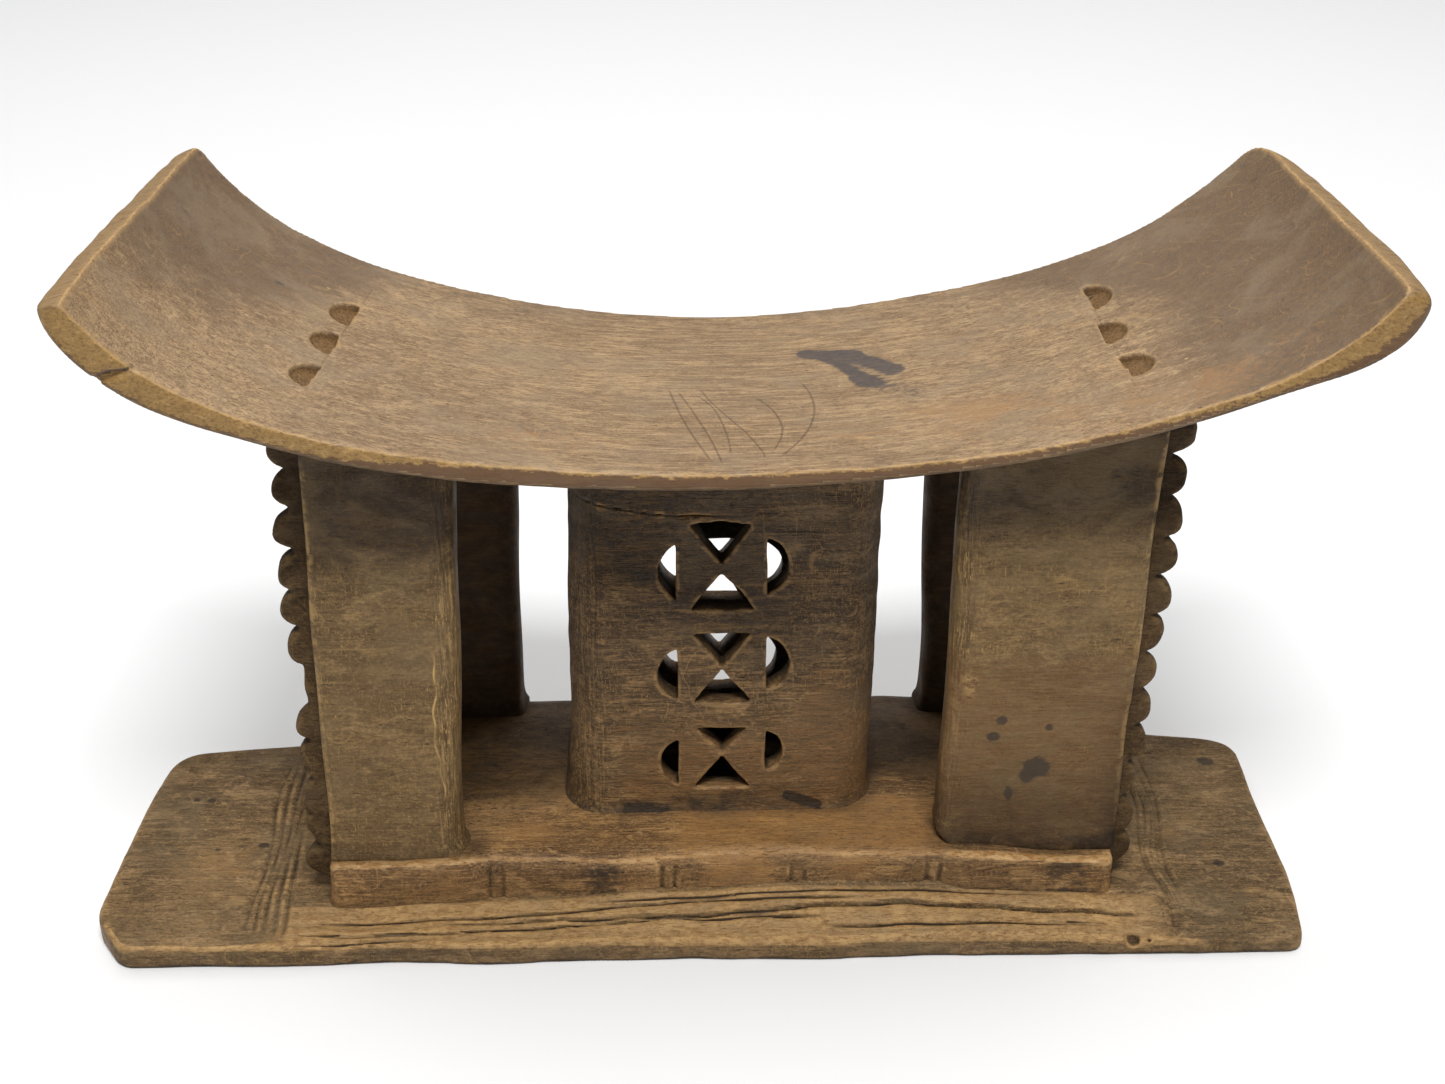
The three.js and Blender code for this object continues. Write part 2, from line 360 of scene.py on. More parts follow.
def seat_fields(grid):
    x, y, z = grid.x, grid.y, grid.z
    top, slope, t = seat_top(x, y)
    level = 1 / np.sqrt(1 + slope**2)
    # gentle hollows left by the adze, long ones along the grain
    top = top + grid.tooled(11, (0.35, 55, 38, EVEN), (0.10, 16, 9, EVEN))[:, :, :1]
    across = (y - SEAT_CENTRE_Y) / (SEAT_HALF_DEPTH - 1)
    thin = seat_edge_thickness(t)
    crown = 1 - np.abs(np.clip(across, -1, 1)) ** 2.6
    crown = crown * ramp(1.0, 0.75, np.abs(t))
    thickness = thin + (SEAT_MIDDLE_THICKNESS - thin) * crown
    thickness = thickness + 0.4 * grid.noise((40, 30, EVEN), 13)[:, :, :1]
    upper = (z - top) * level
    lower = -upper - thickness
    front = front_edge_y(t) - y + grid.tooled(14, (0.55, 45, EVEN, 60), (0.20, 8, EVEN, 8))
    back = y + front_edge_y(t) - 2 * SEAT_CENTRE_Y
    back = back + grid.tooled(16, (0.7, 50, EVEN, 60), (0.18, 9, EVEN, 9))
    ends = seat_end(x, y, z) + grid.tooled(18, (0.5, EVEN, 26, EVEN), (0.2, EVEN, 6, 9))
    # the corners in plan: small, but for the round one at the back on the right
    sides = np.abs(t) * SEAT_HALF_LENGTH - SEAT_HALF_LENGTH - END_REACH
    rim = worn_max(worn_max(front, sides, 10.0), worn_max(back, sides, np.where(t > 0, 30.0, 9.0)), 1.0)
    toward_back = ramp(35, 75, y)
    corner = np.where(t > 0, 1.5 + 9 * toward_back + 5 * ramp(-45, -75, y), 1.5 + 4 * toward_back)
    rim = worn_max(rim, ends, corner)
    body = worn_max(upper, rim, 1.3)
    body = np.maximum(body, worn_max(lower, rim, 3.2))
    notches = None
    for place in NOTCHES:
        edge, middle, length, bulge, edge_lean = place
        across_edge = x - edge_lean * (y - middle)
        outline = half_moon(across_edge, y, edge, middle, length, bulge)
        inward = np.clip(1 - (across_edge - edge) / bulge, 0, 1)
        body = carve(body, worn_max(outline, top - 5.4 * (0.35 + 0.65 * inward) - z, 0.8), 0.4)
        notches = outline if notches is None else np.minimum(notches, outline)
    # the split opens outwards
    along = np.clip((x - SPLIT_X - 8) / -18.0, 0, 1)
    split = np.abs(z - (SPLIT_Z + 0.25 * (x - SPLIT_X))) - (0.4 + 1.1 * along)
    split = np.maximum(np.maximum(split, np.abs(x - SPLIT_X) - SPLIT_HALF_LENGTH), y - SPLIT_END_Y)
    body = carve(body, split + 0.4 * grid.noise((4, 4, 4), 20), 0.9)
    for nick_x, nick_size in NICKS:
        edge_y = front_edge_y((nick_x - SEAT_CENTRE_X) / SEAT_HALF_LENGTH)
        edge_z = seat_top(nick_x, edge_y)[0]
        nick = ball(grid, (nick_x, edge_y - 0.6, edge_z + 0.6), nick_size, 1.5)
        body = carve(body, nick + 0.5 * grid.noise((2.5, 2.5, 2.5), 21), 0.8)
    return body, (upper, rim, ends, notches)


def seat_lines(x, y):
    """The scribed lines along the notches and the scratches in the middle."""
    gaps, strengths = [], []
    for places in (NOTCHES[:3], NOTCHES[3:]):
        (x0, y0, *_), (x1, y1, *_) = places[0], places[2]
        line = x0 + (x1 - x0) * (y - y0) / (y1 - y0)
        gaps.append(x - line - np.sign(x0) * -0.6)
        strengths.append(0.22 * window(y, -52, -44, 58, 66))
    for x0, y0, x1, y1, bow in SCRATCHES:
        u = np.clip((y - y0) / (y1 - y0), -0.2, 1.2)
        path = x0 + (x1 - x0) * u + 4 * bow * u * (1 - u)
        slope = (x1 - x0 + 4 * bow * (1 - 2 * u)) / (y1 - y0)
        gaps.append((x - path) / np.hypot(1, slope))
        strengths.append(0.5 * window(u, -0.01, 0.06, 0.94, 1.01))
    return drawn_lines(gaps, strengths)


def make_seat():
    low = [SEAT_LOW[0] - 6, SEAT_LOW[1] - 5, 202]
    high = [SEAT_HIGH[0] + 6, SEAT_HIGH[1] + 5, SEAT_HIGH[2] + 6]
    grid = Grid(low, high, 1.25)
    body, parts = seat_fields(grid)

    def marks(points, normals):
        x, y, _ = points.T
        t = seat_top(x, y)[2]
        upper, rim, ends, notches = (grid.sample(part, points) for part in parts)
        # brim: how far below the edge's crest on the side, and less than nought on the top
        brim = np.where(normals[:, 2] < -0.3, -5, rim - upper)
        thin = seat_edge_thickness(t)
        reach = 1.6 + 0.75 * thin * ramp(0.40, 0.70, -t) + 0.55 * thin * ramp(0.55, 0.95, t)
        at_end = ramp(-2.5, -0.8, ends) * ramp(0.86, 0.95, np.abs(t))
        reach = np.maximum(reach, 14 * at_end)
        band = np.minimum(brim + 0.3, reach - brim)
        stain = sum(share * streak(x, y, start, end, width) for share, start, end, width in SEAT_STAINS)
        stain += patches(x, y, [(0.5, -176, 4, 34, 3), (0.25, -100, 7, -44, 8)])
        # darker at the ends and towards the back: part patina, part painted shade
        patina_and_shade = 0.75 * ramp(0.40, 0.98, t)
        patina_and_shade += 0.70 * ramp(0.55, 0.95, -t) * ramp(-110, 40, y)
        patina_and_shade += 0.25 * ramp(0.72, 1.0, -t) * ramp(0, 60, y)
        patina_and_shade = (patina_and_shade + 0.42 * ramp(10, 85, y)) * ramp(0.5, -1.0, brim)
        rows = [(0.5, 0.75, 0.22, -66, 20), (0.5, 0.35, 0.25, -40, 30), (0.35, -0.35, 0.25, -55, 25)]
        # painted shade on the undersides
        under = ramp(0.0, -0.5, normals[:, 2])
        return dict(band=band, brim=np.clip(brim, -9, 20), end=at_end, dirt_and_painted_shade=0.75 * under, stain=stain,
                    patina_and_shade=patina_and_shade, warm=patches(t, y, rows), notch=np.clip(notches, -5, 9),
                    **seat_lines(x, y))

    return make_piece("carved_seat", "seat", grid, body, marks)


def below_seat(grid):
    """Distance above a surface just inside the seat, so that members run into it."""
    top, slope, _ = seat_top(grid.x, grid.y)
    return (grid.z - top + ROOT_DEPTH) / np.sqrt(1 + slope**2)


# ---- base and plinth -----------------------------------------------------

BASE_LOW, BASE_HIGH = node_box("base")
PLINTH_LOW, PLINTH_HIGH = node_box("plinth")
PLINTH_TOP = PLINTH_HIGH[2]
BASE_PLATE_Z = 13.6
BASE_MIDDLE_X = 5.0
FRONT_OF_PLINTH = PLINTH_LOW[1]
PLINTH_PLAN = ((5.2, -0.6), (167.3, 65.6))  # its middle and half size along x and y
BASE_RIGHT_X = 254.6
BASE_FRONT_Y = -91.0
BASE_BACK_Y = 52.5  # at the corners
BASE_BACK_BOW = 17  # how far the middle of the back edge stands out past its corners
LEFT_CORNER = (-247, -93.0)  # x and y of the cut-off front corner, and its slant
LEFT_CORNER_SLANT = 1.5
KNOT = (180, -88, 6.5)  # the knot at the front edge on the right
KNOT_SIZE = 2.8


def base_top(x, y):
    """Height of the base: flat ends, and a slope worn down in front of the plinth."""
    plate = BASE_PLATE_Z - 1.6 * ramp(150, 250, x)
    hump = 8.6 * bump(x, 55, 112)
    front_edge = 10.6 - 0.8 * ramp(-180, -60, x) - 3.2 * ramp(110, 215, x)
    rise = ramp(-90, -63, y)
    behind = ramp(-40, -64, y)
    outside = 1 - ramp(185, 212, np.abs(x - BASE_MIDDLE_X))
    slope_top = plate + hump * behind * outside
    return front_edge + (slope_top - front_edge) * rise


# the long drying cracks in the front slope: start x, end x, y, how far y wanders, depth
CRACKS = [
    (-60, 152, -68.7, 0.6, 1.6), (-178, 74, -71.9, 0.9, 2.6), (-122, 194, -75.2, 1.2, 3.4),
    (-188, 58, -79.0, 1.2, 3.0), (40, 180, -81.2, 0.9, 2.4), (-190, -112, -84.0, 0.7, 2.2),
]


def crack_path(x, start, end, y, wander):
    """A crack's y: cracks bow forward at the ends and waver."""
    bow = 2.6 * ((x - 40) / 180) ** 2
    place = x - (start + end) / 2
    return y - bow + wander * (0.5 * np.sin(place / 23.0) + np.sin(place / 57.0) + 0.25 * np.sin(place / 6.1))


def crack_run(x, start, end):
    """How open a crack is along its length, from 0 to 1."""
    return window(x, start, start + 35, end - 35, end)


def contour_line(side, i, y):
    """A carved contour line's x beside an end of the plinth, bowed around the post."""
    if side < 0:
        return -180.0 - 3.6 * i + 0.018 * (y - 45) + 1.2 * np.sin(y / 17.0 + 0.8 * i) - 3.0 * bump(y, 10, 30)
    shift = 3.4 * i * (0.75 + 0.25 * np.sin(y / 40.0)) + 8.0 * ramp(-25, -80, y)
    return 189.5 + shift + 7.5 * bump(y, 0, 38) + 0.9 * np.sin(y / 15.0 + 1.1 * i)


CONTOURS = [(side, i) for side in (-1, 1) for i in range(5)]


def contour_fade(i, y):
    """How deep a contour line is along its length."""
    return window(y, -92 + 3 * i, -76, 34, 58 - 4 * i) * (0.75 + 0.25 * np.sin(y / 7.0 + 2.0 * i))


def base_fields(grid):
    x, y, z = grid.x, grid.y, grid.z
    left = (BASE_LOW[0] - 1.6 + 0.0007 * np.maximum(y + 60, 0) ** 2) - x
    right = x - BASE_RIGHT_X
    back = y - (BASE_BACK_Y + BASE_BACK_BOW * (1 - ((x - 15) / 262) ** 2))
    front = (BASE_FRONT_Y + 2.0 * ramp(-200, -100, x) - 0.8 * ramp(150, 240, x)) - y
    chamfer = (LEFT_CORNER[0] - x) * LEFT_CORNER_SLANT + (LEFT_CORNER[1] - y)
    chamfer = chamfer / np.hypot(LEFT_CORNER_SLANT, 1)
    left = left + 0.7 * grid.noise((EVEN, 24, 60), 31)
    right = right + 0.7 * grid.noise((EVEN, 24, 60), 32)
    front = front + grid.tooled(33, (0.6, 34, EVEN, 30), (0.2, 8, EVEN, 5))
    back = back + 0.8 * grid.noise((40, EVEN, 60), 35)
    outline = worn_max(worn_max(left, back, 15.0), worn_max(right, back, 17.0), 1.0)
    outline = worn_max(outline, worn_max(front, chamfer, 6.0), 3.0)
    outline = worn_max(outline, worn_max(front, right, 9.0), 1.0)
    top_z = base_top(x, y) + grid.tooled(36, (0.30, 30, 16, EVEN), (0.14, 9, 5, EVEN))[:, :, :1]
    for side, i in CONTOURS:
        top_z = top_z - 1.1 * contour_fade(i, y) * bump(x, contour_line(side, i, y), 1.2)
        top_z = top_z + 0.5 * contour_fade(i, y) * bump(x, contour_line(side, i, y) + 1.9, 1.2)
    # the middle of the front slope is weathered into fine ribs along the grain
    slope_share = ramp(-64, -68, y) * ramp(205, 180, np.abs(x - BASE_MIDDLE_X))
    top_z = top_z + 0.35 * slope_share * grid.noise((70, 2.6, EVEN), 39)[:, :, :1]
    top = z - top_z
    body = worn_max(top, outline, 2.6)
    body = worn_max(body, -z, 2.0)
    for start, end, place, wander, deep in CRACKS:
        path = crack_path(x, start, end, place, wander)
        run = crack_run(x, start, end)
        width = 0.2 + 0.7 * run
        tool = np.maximum(np.abs(y - path) - width * (1 + np.clip(top, -deep, 0) / deep), -top - deep * run)
        body = np.where(run > 0.02, carve(body, tool, 0.4), body)
    knot = ball(grid, KNOT, KNOT_SIZE, 1.8)
    body = carve(body, knot + 0.8 * grid.noise((2.5, 2.5, 2.5), 38), 1.0)
    return body, outline


# dark spots on the base: strength, place and width along x, place and width along y
SPOTS = [(1, -236, 2.0, 12, 1.6), (1, -229, 2.2, 12, 1.76), (1, -219, 1.7, -26, 1.36),
         (1, -199, 2.5, -23, 2.0), (1, 237, 5, 36, 4), (1, 226, 3, -42, 2.4)]


def make_base():
    grid = Grid([BASE_LOW[0] - 6, BASE_LOW[1] - 6, -4], [BASE_HIGH[0] + 6, BASE_HIGH[1] + 5, 28], 1.0)
    body, outline = base_fields(grid)

    def marks(points, normals):
        x, y, _ = points.T
        up = ramp(0.2, 0.6, normals[:, 2])
        gap = rounded_box_2d(x, y, *PLINTH_PLAN, 3)
        behind = ramp(-66, -60, y)
        # painted shade round the plinth, on undersides, on the front faces, towards the back and over the
        # right end, and two darker patches at the left end
        dirt_and_painted_shade = 0.5 * ramp(14, 0, gap) * behind + 0.8 * ramp(0.0, -0.5, normals[:, 2])
        dirt_and_painted_shade += 0.30 * ramp(0.3, 0.8, -normals[:, 1]) * ramp(-80, -85, y)
        dirt_and_painted_shade += 0.30 * up * ramp(20, 60, y) + 0.22 * up * ramp(178, 205, x)
        dirt_and_painted_shade += up * patches(x, y, [(0.3, -244, 14, -66, 20), (0.3, -246, 9, 0, 60)])
        slope = ramp(-64, -68, y) * up * ramp(210, 180, np.abs(x - BASE_MIDDLE_X))
        rim = grid.sample(outline, points)
        lip = ramp(-3.4, -1.6, rim) * ramp(0.15, 0.5, normals[:, 2]) * ramp(-70, -80, y)
        gold = 0.50 * slope + 0.75 * lip * ramp(225, 200, x)
        gold += patches(x, y, [(0.5, 238, 9, -61, 4), (0.35, 226, 16, 14, 16), (0.3, 225, 30, -24, 10)])
        warm = up * patches(x, y, [(0.55, -216, 26, -38, 32), (0.4, 214, 20, -18, 26)])
        warm += 0.40 * slope * bump(x, 40, 130)
        gaps = [y - crack_path(x, *crack[:4]) for crack in CRACKS]
        strengths = [crack_run(x, *crack[:2]) * slope for crack in CRACKS]
        for side, i in CONTOURS:
            gaps.append(side * (x - contour_line(side, i, y)))
            strengths.append(0.28 * contour_fade(i, y) * up)
        return dict(gold=gold, dirt_and_painted_shade=dirt_and_painted_shade, stain=patches(x, y, SPOTS), warm=warm,
                    **drawn_lines(gaps, strengths))

    return make_piece("carved_base", "base", grid, body, marks)


GROOVES = (-91.0, -17.5, 38.0, 96.0)  # the four grooves in the plinth's front face
GROOVE_HALF_WIDTH = 2.8
CHIP = (94, FRONT_OF_PLINTH, 22.5)  # a chipped corner in the last groove
CHIP_SIZE = 2.6
PLINTH_ROOT_Z = 6  # the plinth's hidden underside, inside the base


def groove_x(place, z):
    """A groove's middle, which leans a little."""
    return place + 0.05 * (z - 26)


def plinth_top(x):
    return PLINTH_TOP - 0.8 + 2.0 * bump(x, 30, 95) - 2.4 * ramp(110, 172, x)


def plinth_fields(grid):
    x, y, z = grid.x, grid.y, grid.z
    middle = (PLINTH_LOW + PLINTH_HIGH) / 2
    half = (PLINTH_HIGH - PLINTH_LOW) / 2
    sides = rounded_box_2d(x, y, middle[:2], half[:2], 3.5)
    spread = 1.0 * np.exp(-np.maximum(z - base_top(x, FRONT_OF_PLINTH), 0) / 2.0)
    sides = sides - spread + grid.tooled(41, (0.4, 26, 26, 14), (0.16, 12, 5, 3.5))
    top_z = plinth_top(x) + grid.tooled(43, (0.4, 26, 20, EVEN), (0.18, 12, 5, EVEN))[:, :, :1]
    between_posts = window(x, -106, -92, 98, 112)
    edge = (z - top_z, sides + 1.6 * between_posts)
    body = np.maximum(worn_max(*edge, 2.2 + 6.0 * between_posts), sides)
    for place in GROOVES:
        beside = np.abs(x - groove_x(place, z))
        strip = np.maximum(beside - 3.2, y - (FRONT_OF_PLINTH + 1.0))
        cuts = np.maximum(np.abs(beside - GROOVE_HALF_WIDTH) - 0.8, y - (FRONT_OF_PLINTH + 2.8))
        body = carve(body, strip, 0.4)
        body = carve(body, cuts, 0.4)
    body = carve(body, ball(grid, CHIP, CHIP_SIZE), 0.8)
    return np.maximum(body, PLINTH_ROOT_Z - z), sides


def make_plinth():
    grid = Grid(PLINTH_LOW - [6, 6, 8], PLINTH_HIGH + [6, 6, 6], 1.0)
    body, sides = plinth_fields(grid)

    def marks(points, normals):
        x, y, z = points.T
        up = ramp(0.3, 0.8, normals[:, 2])
        # painted shadow of the seat on the plinth's top, towards the back
        painted_shadow = ramp(-32, 2, y - 0.08 * x) * up
        around = rounded_box_2d(x, y, COLUMN_MIDDLE[:2], COLUMN_HALF[:2], COLUMN_CORNER)
        feet = 0.7 * ramp(9, 0, around)
        for name in POSTS:
            low, high = node_box(name)
            gap = rounded_box_2d(x, y, (low + high)[:2] / 2, (high - low)[:2] / 2, 2)
            feet = np.maximum(feet, 0.6 * ramp(6, 0, gap))
        low_down = z - base_top(x, FRONT_OF_PLINTH)
        # painted shade round the feet of the posts and column, along the bottom and in the grooves
        dirt_and_painted_shade = 0.7 * up * feet + 0.4 * ramp(4, 0, low_down)
        grooves = sum(ramp(4.6, 3.2, np.abs(x - g)) for g in GROOVES) * ramp(-62, -64, y)
        crest = ramp(-7.5, -2.5, grid.sample(sides, points)) * ramp(-52, -58, y)
        gold = 0.65 * crest * up + 0.3 * ramp(-3, 0, z - plinth_top(x)) * (1 - up)
        warm = up * patches(x, y, [(0.55, -78, 22, -46, 12), (0.55, 82, 14, -46, 14)])
        warm += (1 - up) * (0.8 * bump(x, 12, 18) + 0.6 * bump(x, 62, 16) + 0.4 * bump(x, -112, 12))
        warm += 0.7 * up * window(x, -30, 0, 96, 112) * ramp(-16, -30, y)
        shade = up * patches(x, y, [(0.3, -20, 34, -50, 4)])
        shade += (1 - up) * (0.5 * bump(x, -46, 13) + 0.55 * bump(x, 152, 16) + 0.3 * bump(x, 84, 8))
        front = (1 - up) * ramp(-64, -65.5, y)
        edges = [x - groove_x(g + side * 3.0, z) for g in GROOVES for side in (-1, 1)]
        return dict(gold=gold, dirt_and_painted_shade=dirt_and_painted_shade + 0.15 * grooves, stain=shade, warm=warm, painted_shadow=painted_shadow,
                    **drawn_lines(edges, [0.9 * front] * len(edges)))

    return make_piece("carved_plinth", "plinth", grid, body, marks)


# ---- posts and fins ------------------------------------------------------

FOOT_Z = PLINTH_TOP
POST_TOP_Z = 245.0
FOOT_CORNER = (107, 46)  # the right front post's rounded foot: x and z of its centre, and its radius
FOOT_ROUND = 11


def lean(foot, top, z):
    """A value that goes evenly from foot to top over the posts' height."""
    return foot + (top - foot) * (z - FOOT_Z) / (POST_TOP_Z - FOOT_Z)


# each post: outer x and inner x, at the foot and at the top, and the seed of its tool marks
POSTS = {
    "front_left_post": ((-162.5, -156.8), (-105, -97), 51),
    "front_right_post": ((174.5, 180.2), (96.5, 100), 61),
    "rear_left_post": ((-161, -156), (-86.9, -81.9), 71),
    "rear_right_post": ((173, 179), (100.8, 98.1), 81),
}


def post_field(grid, name):
    x, y, z = grid.x, grid.y, grid.z
    outer, inner, seed = POSTS[name]
    low, high = node_box(name)
    side = np.sign(outer[0])
    foot = 2.2 * np.exp(-np.maximum(z - FOOT_Z, 0) / 2.6)
    outer_face = side * (x - lean(*outer, z)) + 0.5 * grid.noise((EVEN, 18, 30), seed)
    inner_face = side * (lean(*inner, z) - x) - foot + 0.6 * grid.noise((EVEN, 18, 34), seed + 1)
    layers = (0.5, 24, EVEN, 32), (0.18, 8, EVEN, 6)
    front = low[1] - y - 0.5 * foot + grid.tooled(seed + 2, *layers)
    back = y - high[1] - 0.5 * foot + grid.tooled(seed + 4, *layers)
    edge = 10.0 + 2.5 * grid.noise((EVEN, EVEN, 22), seed + 6)[:1, :1, :]
    slab = worn_max(worn_max(front, inner_face, edge), worn_max(back, inner_face, 5.0), 1.0)
    for face in (front, back):
        slab = worn_max(slab, worn_max(face, outer_face, 3.4), 1.0)
    if name == "front_right_post":
        # this post's foot is rounded in on the inner side
        from_x, from_z = FOOT_CORNER
        corner = np.hypot(np.maximum(from_x - x, 0), np.maximum(from_z - z, 0)) - FOOT_ROUND
        slab = worn_max(slab, np.where((x < from_x) & (z < from_z), corner, slab), 1.5)
    body = np.maximum(slab, below_seat(grid))
    return np.maximum(body, FOOT_Z - ROOT_DEPTH - z)


# heights over which the painted shadow of the seat comes in on the front posts
PAINTED_SHADOW_HEIGHTS = {"front_left_post": (150, 200), "front_right_post": (155, 212)}

# dark spots on the right front post: strength, place and width along x, place and height along z
POST_SPOTS = [(1, 138, 5.0, 75, 4.2), (1, 134, 2.4, 70, 2.6), (1, 119, 2.4, 91, 2.2), (1, 142, 1.4, 95, 1.4),
              (1, 127, 1.5, 62, 3), (1, 122, 2.2, 99, 2)]


def make_post(name):
    low, high = node_box(name)
    grid = Grid(low - [5, 5, 6], high + [8, 5, 10], 1.1)
    rear = name.startswith("rear")

    def marks(points, normals):
        x, _, z = points.T
        foot = ramp(9, 0, z - FOOT_Z)
        inside = ramp(0.3, 0.9, normals[:, 1] * (-1 if rear else 1))
        # painted shade at the foot, on the faces turned into the stool, and over the rear posts
        dirt_and_painted_shade = 0.4 * foot + 0.35 * inside + (0.5 if rear else 0)
        outer, inner, _ = POSTS[name]
        scrape = ramp(12, 6, np.abs(x - lean(*inner, z)))
        scrape += 0.5 * ramp(6, 3, np.abs(x - lean(*outer, z)))
        # painted shadow: the rear posts darkened all over, the front ones below the seat's edge
        painted_shadow = 0.9 if rear else ramp(*PAINTED_SHADOW_HEIGHTS[name], z)
        stain, gold, warm, lines = 0.0, 0.0, 0.0, {}
        if name == "front_right_post":
            stain = patches(x, z, POST_SPOTS) + 0.20 * ramp(130, 95, z) * ramp(100, 125, x)
            # darker towards the rounded foot, and lower down near the outer edge
            dirt_and_painted_shade += 0.55 * ramp(44, 0, z - 46) + 0.35 * bump(x, 176, 8) * ramp(150, 90, z)
            gold = patches(x, z, [(0.55, 108, 7, 116, 12), (0.3, 160, 12, 118, 14)])
            warm = ramp(150, 118, z) * (0.55 + 0.45 * bump(z, 84, 26))
            # a band of painted shadow under the seat on the inner part of this post
            painted_shadow += 0.20 * bump(z, 152, 8) * ramp(170, 150, x)
        if name == "front_left_post":
            gold = 0.18 * ramp(190, 110, z)
            warm = 0.35 * ramp(190, 120, z) * bump(x, -140, 18)
            broken = 0.35 + 0.65 * ramp(-0.4, 0.5, np.sin(z / 3.3) + np.sin(z / 7.9))
            lines = drawn_lines([x - (-112.0 + 1.0 * np.sin(z / 9.0) + 0.5 * np.sin(z / 2.6))],
                                [-1.0 * broken * window(z, 62, 74, 132, 142)])
        if rear:
            warm = 0.7
        if name == "rear_left_post":
            gold = 0.35 * streak(x, z, (-106, 196), (-88, 152), 1.6)
        return dict(gold=gold, dirt_and_painted_shade=dirt_and_painted_shade, stain=stain, warm=warm, painted_shadow=painted_shadow, scrape=scrape, **lines)

    return make_piece(f"carved_{name}", name, grid, post_field(grid, name), marks)


FIN_TOP_Z = 236.8
FIN_LOW_Z = 14.3
FIN_LOBES = 12
LOBE_PITCH = 18.1
# how far the solid part of a fin and the tips of its lobes stand out from the post
FIN_STANDS_OUT = {-1: (5.8, 12.8), 1: (3.0, 10.4)}
BROKEN_LOBES = {"front_left_fin": (6,)}
SMALL_LOBES = {"front_left_fin": (5, 7, 10), "rear_right_fin": (4,)}


def fin_field(grid, name):
    x, y, z = grid.x, grid.y, grid.z
    outer, _, seed = POSTS[name.replace("_fin", "_post")]
    low, high = node_box(name)
    side = np.sign(outer[0])
    solid, tips = FIN_STANDS_OUT[int(side)]
    rng = np.random.default_rng(seed + 100)
    out = side * (x - lean(*outer, np.maximum(z, FOOT_Z)))
    # the fin thins towards the foot, and its broken stretch is bare to the post
    thinner = 1 - 0.35 * ramp(160, 30, z)
    plate = out - solid * thinner + 0.35 * grid.noise((EVEN, EVEN, 7), seed + 8)
    for i in range(FIN_LOBES):
        top = FIN_TOP_Z - LOBE_PITCH * i + rng.normal(0, 0.5)
        reach = tips * (0.4 + 0.6 * thinner) + rng.normal(0, 0.35)
        widest = top - LOBE_PITCH * (0.58 + rng.normal(0, 0.05))
        if i in BROKEN_LOBES.get(name, ()):
            continue
        if i in SMALL_LOBES.get(name, ()):
            reach = reach * 0.88
        # a scale: it swells slowly from above and turns in sharply below
        tall = np.where(z > widest, top - widest + 0.3, widest - top + LOBE_PITCH + 0.3)
        lobe = (np.sqrt(np.clip(out / reach, 0, 9) ** 2 + np.abs((z - widest) / tall) ** 2.3) - 1) * 7.5
        plate = soft_min(plate, np.maximum(lobe, -out - 4), 0.9)
    thick = between(y, low[1], high[1]) + 0.4 * grid.noise((9, EVEN, 9), seed + 9)
    body = worn_max(plate, thick, 2.4)
    body = worn_max(body, -out - 3.5, 0.5)
    crumbs = grid.tooled(seed + 10, (0.25, 3.4, 3.4, 3.4), (0.5, 10, 8, 8))
    body = body + crumbs * (0.45 + 0.8 * ramp(110, 60, z) * (side < 0))
    body = np.maximum(body, below_seat(grid))
    return np.maximum(body, FIN_LOW_Z - ROOT_DEPTH - z)


def make_fin(name):
    low, high = node_box(name)
    grid = Grid(low - [8, 4, 6], high + [8, 4, 10], 1.0)

    def marks(points, _):
        z = points[:, 2]
        notch = np.abs(np.mod((FIN_TOP_Z - z) / LOBE_PITCH + 0.5, 1) - 0.5)
        # painted shade between the lobes and towards the foot, over a light shade all over
        dirt_and_painted_shade = 0.30 + 0.30 * ramp(60, 15, z) + 0.4 * ramp(0.14, 0.0, notch)
        # painted shadow of the seat on the upper part of the fin
        return dict(dirt_and_painted_shade=0.6 * dirt_and_painted_shade, warm=0.3 * ramp(120, 50, z), painted_shadow=0.8 * ramp(140, 200, z))

    return make_piece(f"carved_{name}", name, grid, fin_field(grid, name), marks)


# ---- centre column -------------------------------------------------------

COLUMN_LOW, COLUMN_HIGH = node_box("centre_column")
COLUMN_MIDDLE = (COLUMN_LOW + COLUMN_HIGH) / 2
COLUMN_HALF = (COLUMN_HIGH - COLUMN_LOW) / 2
COLUMN_LEFT = (-61.4, -55.6)  # at the foot and at the top
COLUMN_RIGHT = (71.2, 74.2)
COLUMN_WALL = 9.5
COLUMN_CORNER = 18
PIERCED_X = 6.0
HALF_SPREAD = 18.8  # from the middle to the moons' straight edges
WEB = 1.4

# pierced rows: tips' height, upper edge, lower edge, half width above and below, then each
# moon's low and high ends and its bulge
FRONT_ROWS = [
    (159.0, 178.8, 138.7, 12.6, 13.4, (143.7, 170.3, 7.2), (146.0, 172.7, 9.2)),
    (110.1, 127.0, 92.5, 13.0, 13.1, (94.2, 119.8, 8.4), (98.8, 125.2, 9.8)),
    (65.8, 79.6, 49.0, 11.6, 11.9, (50.0, 73.1, 7.8), (57.4, 77.8, 7.5)),
]
REAR_ROWS = [
    (165.5, 184.0, 149.5, 11.0, 12.0, (152.0, 181.0, 8.0), (151.0, 182.0, 9.5)),
    (121.6, 134.0, 102.8, 9.0, 11.0, (110.6, 134.0, 8.0), (108.5, 134.0, 9.8)),
    (73.8, 87.0, 55.6, 10.0, 11.0, (64.5, 87.0, 8.0), (59.6, 86.0, 7.5)),
]


